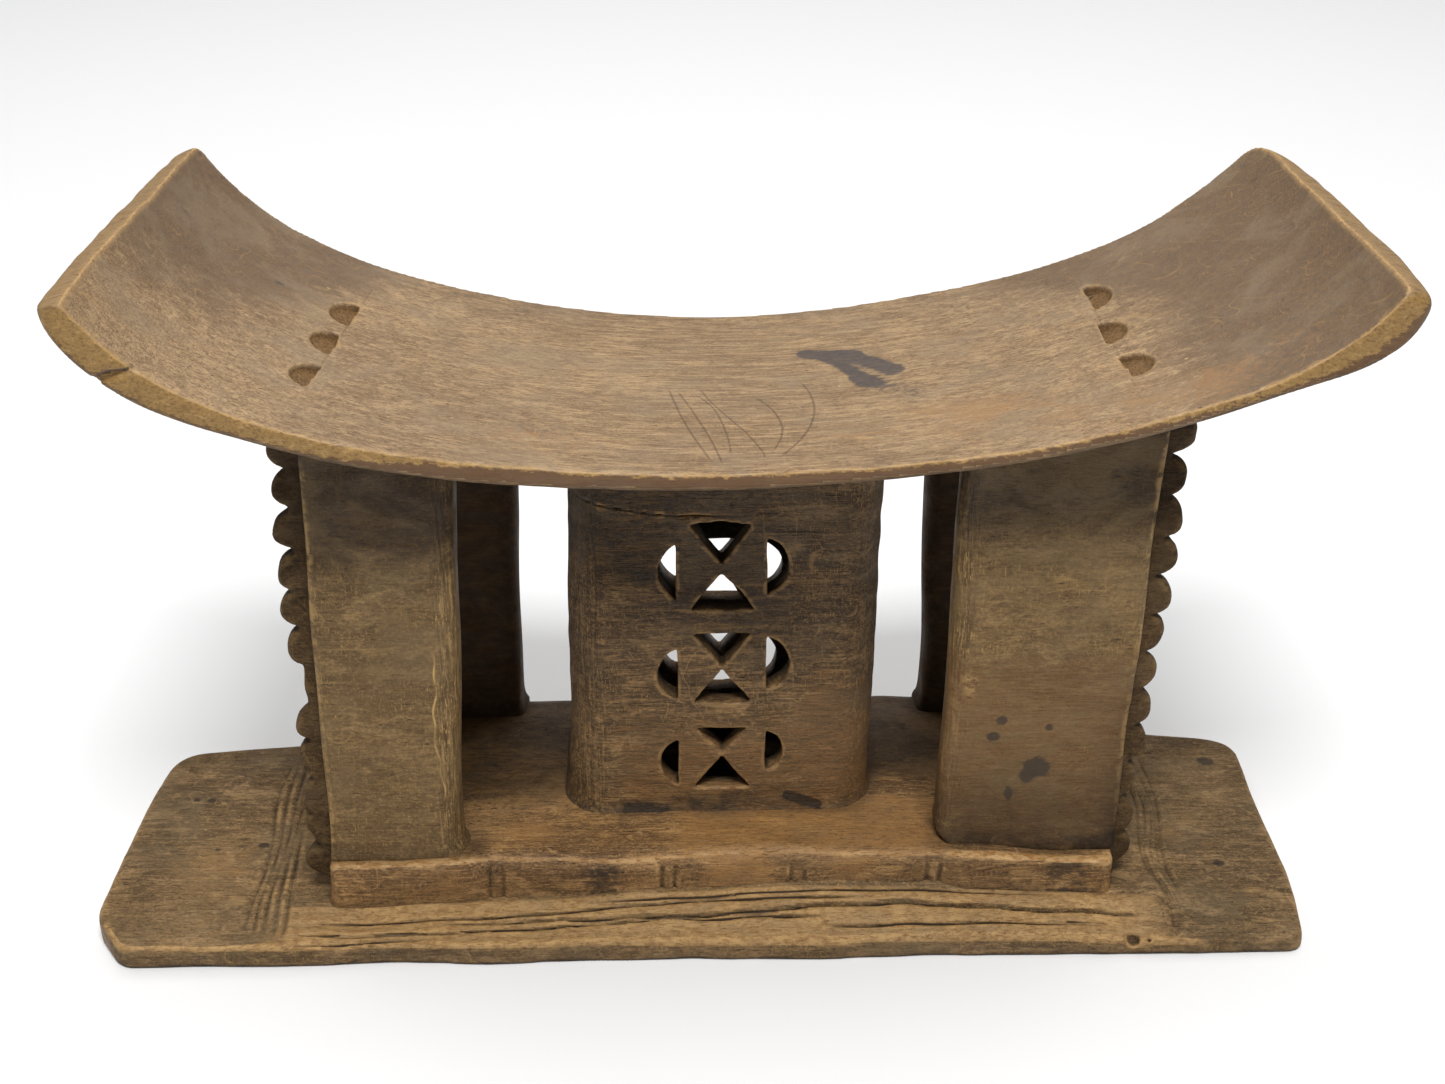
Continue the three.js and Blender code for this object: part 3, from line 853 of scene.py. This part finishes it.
def triangle(x, z, tip_x, tip_z, base_z, half_width):
    """Front distance to a triangle with a flat edge at base_z and a tip."""
    rise = base_z - tip_z
    slant = np.hypot(half_width, rise)
    sides = (np.abs(x - tip_x) * abs(rise) - half_width * np.abs(z - tip_z)) / slant
    beyond = (z - base_z) * np.sign(rise)
    return np.maximum(np.maximum(sides, beyond), -(z - tip_z) * np.sign(rise))


def pierced(grid, rows):
    x, z = grid.x, grid.z
    nearest = np.full(1, 99.0)
    for tips, top, bottom, upper, lower, left, right in rows:
        arch = top + (1.6 * (1 - ((x - PIERCED_X) / 12) ** 2) if top > 170 else 0.0)
        down = np.maximum(triangle(x, z, PIERCED_X, tips + WEB, top + 2, upper + 1.2), z - arch)
        up = triangle(x, z, PIERCED_X, tips - WEB, bottom, lower)
        nearest = np.minimum(np.minimum(nearest, down), up)
        for side, (low, high, bulge) in ((-1, left), (1, right)):
            edge = PIERCED_X + side * HALF_SPREAD
            nearest = np.minimum(nearest, half_moon(x, z, edge, (low + high) / 2, high - low, side * bulge))
    return nearest


def column_crack(x):
    """Height of the drying crack across the column's front."""
    return 187.6 - 0.075 * (x + 56) + 4.5 * np.exp(-np.maximum(x + 57, 0) / 6.0) + 0.8 * np.sin(x / 9.0)


def column_sides(z):
    """The column's middle and half width along x, between its slightly leaning sides."""
    left = lean(*COLUMN_LEFT, z)
    right = lean(*COLUMN_RIGHT, z)
    return (left + right) / 2, (right - left) / 2


def column_field(grid):
    x, y, z = grid.x, grid.y, grid.z
    foot = 2.4 * np.exp(-np.maximum(z - FOOT_Z, 0) / 3.0)
    middle, half = column_sides(z)
    outside = rounded_box_2d(x, y, (middle, COLUMN_MIDDLE[1]), (half, COLUMN_HALF[1]), COLUMN_CORNER) - foot
    outside = outside + grid.tooled(91, (0.5, 28, 30, 34), (0.15, 10, 10, 5))
    hollow_u = np.abs(x - COLUMN_MIDDLE[0]) / (COLUMN_HALF[0] - COLUMN_WALL)
    hollow_v = np.abs(y - COLUMN_MIDDLE[1]) / (COLUMN_HALF[1] - COLUMN_WALL)
    inside = ((hollow_u**3 + hollow_v**3) ** (1 / 3) - 1) * (COLUMN_HALF[1] - COLUMN_WALL)
    inside = inside + 0.5 * grid.noise((14, 14, 18), 93)
    body = carve(outside, inside, 1.0)
    jitter = 0.2 * grid.noise((5, EVEN, 5), 94)
    rearward = y - COLUMN_MIDDLE[1]
    holes = np.minimum(np.maximum(pierced(grid, FRONT_ROWS) + jitter, rearward),
                       np.maximum(pierced(grid, REAR_ROWS) + jitter, -rearward))
    body = carve(body, holes, 0.5)
    # a drying crack across the front near the top
    run = window(x, -64, -50, -8, 14)
    crack = np.maximum(np.abs(z - column_crack(x)) - 0.2 * run, y - (COLUMN_LOW[1] + 4.0 * run))
    body = np.where(run > 0.02, carve(body, crack, 0.4), body)
    body = np.maximum(body, below_seat(grid))
    return np.maximum(body, FOOT_Z - ROOT_DEPTH - z)


def make_column():
    grid = Grid(COLUMN_LOW - [9, 6, 6], COLUMN_HIGH + [9, 6, 10], 0.9)
    body = column_field(grid)

    def marks(points, normals):
        x, y, z = points.T
        middle, half = column_sides(z)
        wall = rounded_box_2d(x, y, (middle, COLUMN_MIDDLE[1]), (half, COLUMN_HALF[1]), COLUMN_CORNER)
        inside = ramp(-3.5, -8.5, wall)
        foot = ramp(8, 0, z - FOOT_Z)
        # painted shade at the foot and inside the hollow
        dirt_and_painted_shade = 0.45 * foot + 0.75 * inside
        # painted shadow of the seat on the upper part, its edge lower towards the right, where it is fainter
        painted_shadow = ramp(100, 150, z + 0.5 * (x - 10)) * (1 - 0.7 * ramp(8, 50, x))
        scrape = 0.6 * ramp(20, 12, x + 60) + 0.4 * ramp(14, 8, 72 - x)
        ripple = bump(x, -34, 16) * bump(z, 146, 26) + 0.3
        warm = 0.55 * ramp(120, 60, z) * ramp(-60, -30, x)
        warm = (warm + patches(x, z, [(0.35, 52, 16, 96, 34)])) * (1 - inside)
        stain = streak(x, z, (35, 44), (48, 39), 2.4) + 0.4 * streak(x, z, (-35, 38), (-20, 37), 3)
        stain += patches(x, z, [(0.35, -28, 16, 150, 22), (0.3, 30, 20, 86, 9)])
        stain += 0.34 * ramp(58, 44, z) * window(x, -64, -52, 20, 50)
        front = ramp(0.5, 0.9, -normals[:, 1])
        # the crack, a short check beside it, and a facet line down the left corner
        gaps = [z - column_crack(x), z - (176.5 - 0.02 * x), x - (-46.5 + 0.6 * np.sin(z / 11.0))]
        facet = window(z, 112, 128, 180, 196) * ramp(0.2, 0.5, -normals[:, 1])
        strengths = [0.8 * front * window(x, -62, -56, 4, 22), 0.6 * front * window(x, 24, 30, 46, 52),
                     0.5 * facet]
        return dict(dirt_and_painted_shade=dirt_and_painted_shade, warm=warm, stain=stain * front, painted_shadow=painted_shadow, scrape=scrape, ripple=ripple,
                    **drawn_lines(gaps, strengths))

    return make_piece("carved_column", "centre_column", grid, body, marks)


# ---- materials -----------------------------------------------------------


def srgb(red, green, blue):
    """A colour given in screen values 0 to 255, as linear light."""
    channels = [c / 255 for c in (red, green, blue)]
    return tuple(c / 12.92 if c < 0.04045 else ((c + 0.055) / 1.055) ** 2.4 for c in channels) + (1.0,)


class Wood:
    """Builds one node material. Its textures lie in the block's own place, so grain runs on."""

    def __init__(self, name, tones):
        self.material = bpy.data.materials.new(name)
        self.material.use_nodes = True
        self.nodes = self.material.node_tree.nodes
        self.links = self.material.node_tree.links
        self.shader = self.nodes["Principled BSDF"]
        self.place = self.nodes.new("ShaderNodeTexCoord").outputs["Object"]
        self.tones = {key: srgb(*value) for key, value in tones.items()}
        self.patch = self.noise(13, (1.9, 1, 1), 6, 0.68, 0.6, 3.1)
        self.mottle = self.noise(2.3, (1.8, 1, 1), 5, 0.7, 0.3, 29.0)

    def node(self, kind, settings, inputs):
        """Makes a node, with a value or a link on each input given, and returns its outputs."""
        node = self.nodes.new("ShaderNode" + kind)
        for key, value in settings.items():
            setattr(node, key, value)
        for key, value in inputs.items():
            if isinstance(value, bpy.types.NodeSocket):
                self.links.new(value, node.inputs[key])
            else:
                node.inputs[key].default_value = value
        return node.outputs

    def placed(self, size, stretch, offset, turn=0.0):
        """Texture space with cells of size millimetres, longer where stretch is, and turned."""
        scale = [s * size * MM for s in stretch]
        shift = [-offset * k * s for k, s in zip((1, 0.7, 1.3), scale)]
        inputs = {"Vector": self.place, "Scale": scale, "Rotation": (0, turn, turn), "Location": shift}
        return self.node("Mapping", {"vector_type": "TEXTURE"}, inputs)["Vector"]

    def noise(self, size, stretch, detail, rough, distortion, offset=0.0, turn=0.0):
        vector = self.placed(size, stretch, offset, turn)
        inputs = {"Scale": 1.0, "Detail": detail, "Roughness": rough, "Distortion": distortion}
        return self.node("TexNoise", {}, {"Vector": vector, **inputs})["Fac"]

    def specks(self, size, rarity, radius, offset):
        """Small round flecks, one in the middle of some cells."""
        vector = self.placed(size, (1.5, 1, 1), offset)
        texture = self.node("TexVoronoi", {}, {"Vector": vector, "Scale": 1.0})
        chosen = self.span(texture["Color"], rarity, rarity + 0.02)
        return self.times(self.span(texture["Distance"], radius, radius * 0.6), chosen)

    def hairlines(self, size, width, offset, turn):
        """Thin, nearly straight lines at one slant, where a long noise crosses its middle value."""
        value = self.noise(size, (30, 1, 1), 0.0, 0.5, 0.0, offset, turn)
        return self.span(self.math("ABSOLUTE", self.math("SUBTRACT", value, 0.5)), 0.0, width, 1.0, 0.0)

    def span(self, value, low, high, to_low=0.0, to_high=1.0):
        """A smooth step from to_low, where value is low, to to_high, where it is high."""
        limits = {"From Min": low, "From Max": high, "To Min": to_low, "To Max": to_high}
        settings = {"interpolation_type": "SMOOTHSTEP"}
        return self.node("MapRange", settings, {"Value": value, **limits})["Result"]

    def math(self, operation, a, b=0.0):
        return self.node("Math", {"operation": operation}, {0: a, 1: b})[0]

    def times(self, a, b):
        return self.math("MULTIPLY", a, b)

    def plus(self, a, b):
        return self.math("ADD", a, b)

    def mix(self, share, a, b, blend="MIX"):
        """Colours mixed; a tone may be given by its name."""
        a, b = (self.tones[colour] if isinstance(colour, str) else colour for colour in (a, b))
        settings = {"data_type": "RGBA", "blend_type": blend, "clamp_factor": True}
        return self.node("Mix", settings, {"Factor": share, "A": a, "B": b})["Result"]

    def mark(self, name):
        return self.node("Attribute", {"attribute_name": name}, {})["Fac"]

    def ragged(self, mark, strength, fray=1.5):
        """A mark's share with a torn outline instead of a soft one."""
        uneven = self.plus(self.times(self.patch, fray * 0.6), self.times(self.mottle, fray * 0.4))
        frayed = self.plus(self.math("SUBTRACT", uneven, fray * 0.5), mark)
        share = self.span(frayed, 0.30, 0.60, 0.0, strength)
        return self.times(share, self.span(mark, 0.03, 0.3))


def grain(w, patchy, fibres, mottling=1.0):
    """The wood's own colour: soft tones, fine fibres along the block, and short dark dashes."""
    broad = w.noise(60, (1.5, 1, 1), 4, 0.6, 0.5)
    streaks = w.noise(2.6, (13, 1, 1), 4, 0.65, 0.5, 5.3)
    w.tooth = w.noise(1.1, (1.3, 1, 1), 4, 0.75, 0.2, 19.0)
    w.fibre = w.noise(0.7, (26, 1, 1), 4, 0.68, 0.3)
    w.dash = w.noise(0.55, (7, 1, 1), 2, 0.5, 0.6, 7.7)
    colour = w.mix(w.span(broad, 0.38, 0.63, 0.0, patchy), "middle", "dark")
    # texture, the values where a tone begins and is full, its share, and the tone
    layers = (
        (w.patch, 0.49, 0.60, 0.70 * patchy, "dark"), (w.patch, 0.47, 0.38, 0.70 * patchy, "light"),
        (streaks, 0.49, 0.60, 0.45 * fibres, "light"), (streaks, 0.47, 0.36, 0.45 * fibres, "dark"),
        (w.fibre, 0.50, 0.61, 0.75 * fibres, "dark"), (w.fibre, 0.45, 0.34, 0.45 * fibres, "light"),
        (w.tooth, 0.51, 0.62, 0.50 * mottling, "dark"), (w.tooth, 0.47, 0.35, 0.55 * mottling, "light"),
        (w.mottle, 0.53, 0.64, 0.55 * mottling, "dark"), (w.mottle, 0.46, 0.34, 0.35 * mottling, "light"))
    for texture, start, full, share, tone in layers:
        colour = w.mix(w.span(texture, start, full, 0.0, share), colour, tone)
    dashes = w.times(w.span(w.dash, 0.64, 0.70), w.span(w.patch, 0.42, 0.56, 0.25, 0.85))
    return w.mix(dashes, colour, "grime_and_shade")


def scrapes_and_painted_shadow(w, colour):
    """Upright scrape marks and flecks, and a painted shadow: the seat's shadow and the shade of the recesses,
    multiplied into the colour.
    """
    scrape = w.noise(1.0, (1, 1, 22), 4, 0.7, 0.4, 11.0)
    w.scraped = w.times(w.mark("scrape"), scrape)
    colour = w.mix(w.times(w.span(scrape, 0.50, 0.60), w.mark("scrape")), colour, "dark")
    colour = w.mix(w.times(w.span(scrape, 0.45, 0.36), w.mark("scrape")), colour, "light")
    flecks = w.span(w.noise(0.55, (1, 1, 7), 2, 0.5, 0.4, 61.0), 0.61, 0.66)
    gathered = w.times(w.mark("scrape"), 0.4)
    gathered = w.plus(w.span(w.patch, 0.46, 0.60, 0.0, 0.45), gathered)
    colour = w.mix(w.times(flecks, gathered), colour, "worn")
    # painted shadow: the colour multiplied by the shadow tone where the mark lies, with a torn edge
    share = w.plus(w.mark("painted_shadow"), w.times(w.math("SUBTRACT", w.patch, 0.5), 0.8))
    share = w.times(w.span(share, 0.0, 1.0), w.span(w.mark("painted_shadow"), 0.0, 0.25))
    return w.mix(share, colour, w.mix(1.0, colour, "painted_shadow", "MULTIPLY"))


def weathered(w, colour, wear):
    """Wear, dirt and painted shade, stains and drawn lines over the grain, from the piece's marks."""
    warm = w.mix(w.span(w.fibre, 0.42, 0.62), "warm", "middle")
    colour = w.mix(w.ragged(w.mark("warm"), 0.9), colour, w.mix(0.70, colour, warm))
    dust = w.noise(34, (1.3, 1, 1), 5, 0.68, 0.6, 13.0)
    colour = w.mix(w.span(dust, 0.46, 0.64, 0.0, 0.45), colour, "grey")
    rub = w.span(w.noise(5, (2.0, 1, 1), 4, 0.7, 0.3, 17.0), 0.34, 0.62)
    edge = w.math("MAXIMUM", w.mark("edge"), w.times(w.mark("ridge"), 0.4))
    colour = w.mix(w.span(w.times(edge, rub), 0.10, 0.60, 0.0, wear), colour, "worn")
    w.rubbed = w.ragged(w.mark("gold"), 0.8, 1.1)
    colour = w.mix(w.rubbed, colour, w.mix(w.span(w.mottle, 0.42, 0.60), "worn", "warm"))
    hollow = w.math("MAXIMUM", w.mark("crease"), w.times(w.mark("valley"), 0.6))
    w.hollow = w.math("MAXIMUM", hollow, w.mark("dirt_and_painted_shade"))
    uneven = w.span(w.noise(8, (1.5, 1, 1), 5, 0.72, 0.5, 23.0), 0.30, 0.66, 0.6, 1.0)
    # painted shade, with dirt, in creases and hollows and where the marks put it
    colour = w.mix(w.times(w.hollow, uneven), colour, "grime_and_shade")
    colour = w.mix(w.ragged(w.mark("stain"), 0.8), colour, "ink")
    # thin lines: the phase is half way between whole numbers on a line
    phase = w.math("FRACT", w.mark("lines"))
    near = w.span(w.math("ABSOLUTE", w.math("SUBTRACT", phase, 0.5)), 0.04, 0.24, 1.0, 0.0)
    near = w.times(near, w.span(w.noise(4, (2, 1, 1), 3, 0.6, 0.0, 37.0), 0.26, 0.38))
    w.line = w.times(near, w.mark("drawn"))
    colour = w.mix(w.line, colour, "grime_and_shade")
    return w.mix(w.times(w.line, -1.0), colour, "worn")


def scratched(w, colour, share):
    """Hairline scratches at several slants."""
    for size, width, tone, seed, turn in (
            (9, 0.014, "grime_and_shade", 41.0, 0.22), (8, 0.014, "worn", 47.0, -0.10),
            (13, 0.011, "grime_and_shade", 67.0, 1.2), (11, 0.012, "worn", 71.0, 0.7), (14, 0.010, "worn", 83.0, -1.0)):
        fine = w.hairlines(size, width, seed, turn)
        where = w.span(w.noise(16, (1, 1, 1), 2, 0.5, 0.0, seed + 3), 0.52, 0.60, 0.0, share)
        colour = w.mix(w.times(fine, where), colour, tone)
    return colour


def finish(w, colour, roughness, shine, relief):
    w.links.new(colour, w.shader.inputs["Base Color"])
    dull = w.span(w.patch, 0.36, 0.64, roughness - 0.10, roughness + 0.10)
    dull = w.plus(dull, w.times(w.hollow, 0.2))
    dull = w.math("SUBTRACT", dull, w.times(w.rubbed, 0.12))
    w.links.new(dull, w.shader.inputs["Roughness"])
    w.shader.inputs["Specular IOR Level"].default_value = shine
    ripples = w.times(w.noise(1.5, (6, 1, 1), 3, 0.6, 0.8, 73.0), w.mark("ripple"))
    height = w.plus(w.scraped, w.patch)
    for texture, amount in ((w.fibre, 0.5), (w.mottle, 0.8), (w.tooth, 0.6), (ripples, 2.2),
                            (w.span(w.dash, 0.60, 0.70), -0.6), (w.line, -0.8)):
        height = w.plus(height, w.times(texture, amount))
    bumps = w.node("Bump", {}, {"Strength": 0.7 * relief, "Distance": 0.6 * MM, "Height": height})
    w.links.new(bumps["Normal"], w.shader.inputs["Normal"])
    return w.material


def make_wood(name, tones, roughness, shine, relief, patchy, fibres, wear, scratches):
    w = Wood(name, tones)
    colour = scrapes_and_painted_shadow(w, scratched(w, grain(w, patchy, fibres), scratches))
    return finish(w, weathered(w, colour, wear), roughness, shine, relief)


def seat_wood():
    """The seat: handled to a pale sheen in the middle; darker at the ends and the back, with handling and
    with painted shade.
    """
    w = Wood("seat_wood", dict(
        light=(186, 155, 115), middle=(154, 126, 92), dark=(112, 88, 63), grime_and_shade=(62, 44, 29),
        grey=(138, 119, 95), worn=(186, 148, 94), warm=(156, 114, 70), ink=(60, 57, 60),
        patina_and_shade=(98, 80, 63), band=(154, 121, 68), side=(98, 67, 38), end=(148, 119, 80),
        check=(108, 80, 48), notch=(84, 63, 38), painted_shadow=(120, 110, 100)))
    colour = grain(w, 0.50, 1.10, 0.55)
    # patina and painted shade darken the ends and the back
    patina_and_shade = w.ragged(w.mark("patina_and_shade"), 0.85, 0.9)
    colour = w.mix(patina_and_shade, colour, w.mix(w.span(w.mottle, 0.38, 0.62), "patina_and_shade", "dark"))
    colour = scrapes_and_painted_shadow(w, scratched(w, colour, 0.30))
    colour = w.mix(w.specks(13, 0.74, 0.05, 53.0), colour, "light")
    colour = weathered(w, colour, 0.35)
    # the edge: a bright worn crest, a speckled golden band, and dark wood under it
    brim = w.mark("brim")
    frayed = w.plus(brim, w.span(w.mottle, 0.30, 0.70, -0.5, 0.5))
    colour = w.mix(w.span(frayed, 0.3, 1.6, 0.0, 0.85), colour, "side")
    golden = w.plus(w.mark("band"), w.span(w.mottle, 0.36, 0.64, 0.6, -1.2))
    flecks = w.mix(w.span(w.tooth, 0.46, 0.64, 0.0, 0.6), "band", "side")
    flecks = w.mix(w.span(w.mottle, 0.48, 0.36, 0.0, 0.6), flecks, "worn")
    colour = w.mix(w.span(golden, -0.2, 0.4, 0.0, 0.95), colour, flecks)
    checks = w.span(w.noise(0.8, (9, 1, 4), 3, 0.6, 0.3, 59.0), 0.52, 0.62, 0.0, 0.8)
    colour = w.mix(w.mark("end"), colour, w.mix(checks, "end", "check"))
    crest = w.times(w.span(frayed, -0.7, -0.2), w.span(frayed, 0.8, 0.3))
    rubbed = w.span(w.noise(6, (1, 1, 1), 4, 0.65, 0.2, 89.0), 0.36, 0.60, 0.15, 0.8)
    colour = w.mix(w.times(crest, rubbed), colour, "worn")
    # the notches: dark speckled floors inside a thin light rim
    notch = w.mark("notch")
    floor = w.mix(w.span(w.tooth, 0.44, 0.58), "band", "notch")
    colour = w.mix(w.span(notch, 0.4, -0.3, 0.0, 0.95), colour, w.mix(0.55, floor, "side"))
    rim = w.times(w.span(notch, 0.2, 0.6), w.span(notch, 1.6, 1.0))
    colour = w.mix(w.times(rim, 0.15), colour, "light")
    return finish(w, colour, roughness=0.5, shine=0.4, relief=0.75)


def post_wood():
    tones = dict(
        light=(162, 131, 84), middle=(124, 97, 59), dark=(84, 63, 36), grime_and_shade=(36, 23, 10),
        grey=(114, 93, 60), worn=(190, 154, 96), warm=(102, 66, 34), ink=(52, 43, 35),
        painted_shadow=(136, 125, 92))
    return make_wood("post_wood", tones, roughness=0.6, shine=0.35, relief=0.9, patchy=0.50, fibres=0.5,
                     wear=0.45, scratches=0.22)


def column_wood():
    tones = dict(
        light=(164, 128, 82), middle=(110, 84, 52), dark=(66, 48, 28), grime_and_shade=(30, 20, 9),
        grey=(92, 75, 52), worn=(190, 150, 96), warm=(138, 96, 52), ink=(34, 30, 25),
        painted_shadow=(160, 150, 114))
    return make_wood("column_wood", tones, roughness=0.55, shine=0.4, relief=1.4, patchy=0.9, fibres=1.0,
                     wear=0.35, scratches=0.40)


def fin_wood():
    tones = dict(
        light=(124, 97, 61), middle=(94, 71, 42), dark=(62, 45, 25), grime_and_shade=(28, 18, 8),
        grey=(92, 73, 49), worn=(142, 113, 72), warm=(116, 82, 44), ink=(30, 26, 20),
        painted_shadow=(158, 146, 110))
    return make_wood("fin_wood", tones, roughness=0.75, shine=0.25, relief=1.6, patchy=0.6, fibres=0.3,
                     wear=0.35, scratches=0.3)


def plinth_wood():
    tones = dict(
        light=(186, 144, 90), middle=(150, 112, 66), dark=(94, 66, 36), grime_and_shade=(34, 22, 10),
        grey=(130, 100, 62), worn=(204, 164, 110), warm=(170, 122, 66), ink=(48, 35, 21),
        painted_shadow=(150, 144, 114))
    return make_wood("plinth_wood", tones, roughness=0.5, shine=0.45, relief=1.4, patchy=1.0, fibres=1.0,
                     wear=0.7, scratches=0.35)


def base_wood():
    tones = dict(
        light=(180, 145, 98), middle=(140, 109, 69), dark=(90, 68, 40), grime_and_shade=(34, 22, 11),
        grey=(114, 95, 66), worn=(200, 160, 104), warm=(160, 122, 74), ink=(44, 34, 24),
        painted_shadow=(150, 142, 128))
    return make_wood("base_wood", tones, roughness=0.62, shine=0.35, relief=1.2, patchy=0.95, fibres=0.75,
                     wear=0.42, scratches=0.35)


# ---- the studio ----------------------------------------------------------

CAMERA_PLACE = (-6.32, -778.95, 583.43)
CAMERA_PITCH = 0.504  # downwards, in radians
CAMERA_YAW = -0.017
CAMERA_ROLL = 0.002
CAMERA_LENS = 51.99  # on a sensor 36 mm wide


def make_camera():
    data = bpy.data.cameras.new("view")
    data.sensor_width = 36.0
    data.lens = CAMERA_LENS
    camera = add_object("view", data)
    turn = Matrix.Rotation(CAMERA_YAW, 4, "Z") @ Matrix.Rotation(np.pi / 2 - CAMERA_PITCH, 4, "X")
    turn = turn @ Matrix.Rotation(-CAMERA_ROLL, 4, "Z")
    camera.matrix_world = Matrix.Translation(Vector(CAMERA_PLACE) * MM) @ turn
    bpy.context.scene.camera = camera


def make_floor():
    mesh = bpy.data.meshes.new("floor")
    half = 6.0
    corners = [(-half, -half, 0), (half, -half, 0), (half, half, 0), (-half, half, 0)]
    mesh.from_pydata(corners, [], [(0, 1, 2, 3)])
    floor = add_object("floor", mesh)
    material = bpy.data.materials.new("pale_floor")
    material.use_nodes = True
    shader = material.node_tree.nodes["Principled BSDF"]
    shader.inputs["Base Color"].default_value = (0.92, 0.92, 0.92, 1)
    shader.inputs["Roughness"].default_value = 0.9
    mesh.materials.append(material)


def add_lamp(name, place, target, size, power):
    data = bpy.data.lights.new(name, "AREA")
    data.shape = "RECTANGLE"
    data.size, data.size_y = size
    data.energy = power
    lamp = add_object(name, data)
    direction = Vector(target) - Vector(place)
    lamp.matrix_world = Matrix.Translation(place) @ direction.to_track_quat("-Z", "Y").to_matrix().to_4x4()


def make_lights():
    # each lamp's place, the spot it points at, its size in metres and its power in watts
    add_lamp("key", (0.05, -1.0, 2.25), (0, 0, 0.1), (0.9, 0.6), 46)
    add_lamp("overhead", (0.0, 1.1, 2.3), (0, 1.0, 0.0), (3.4, 2.2), 44)
    world = bpy.data.worlds.new("studio")
    world.use_nodes = True
    world.node_tree.nodes["Background"].inputs["Color"].default_value = (1.0, 1.0, 1.0, 1)
    world.node_tree.nodes["Background"].inputs["Strength"].default_value = 0.20
    bpy.context.scene.world = world
    bpy.context.scene.view_settings.view_transform = "Standard"


# ---- making it all -------------------------------------------------------

make_camera()
make_floor()
make_lights()

WOODS = {
    "seat": seat_wood(), "post": post_wood(), "column": column_wood(),
    "fin": fin_wood(), "plinth": plinth_wood(), "base": base_wood(),
}

make_seat().data.materials.append(WOODS["seat"])
make_column().data.materials.append(WOODS["column"])
make_plinth().data.materials.append(WOODS["plinth"])
make_base().data.materials.append(WOODS["base"])
for post_name in POSTS:
    make_post(post_name).data.materials.append(WOODS["post"])
    make_fin(post_name.replace("_post", "_fin")).data.materials.append(WOODS["fin"])
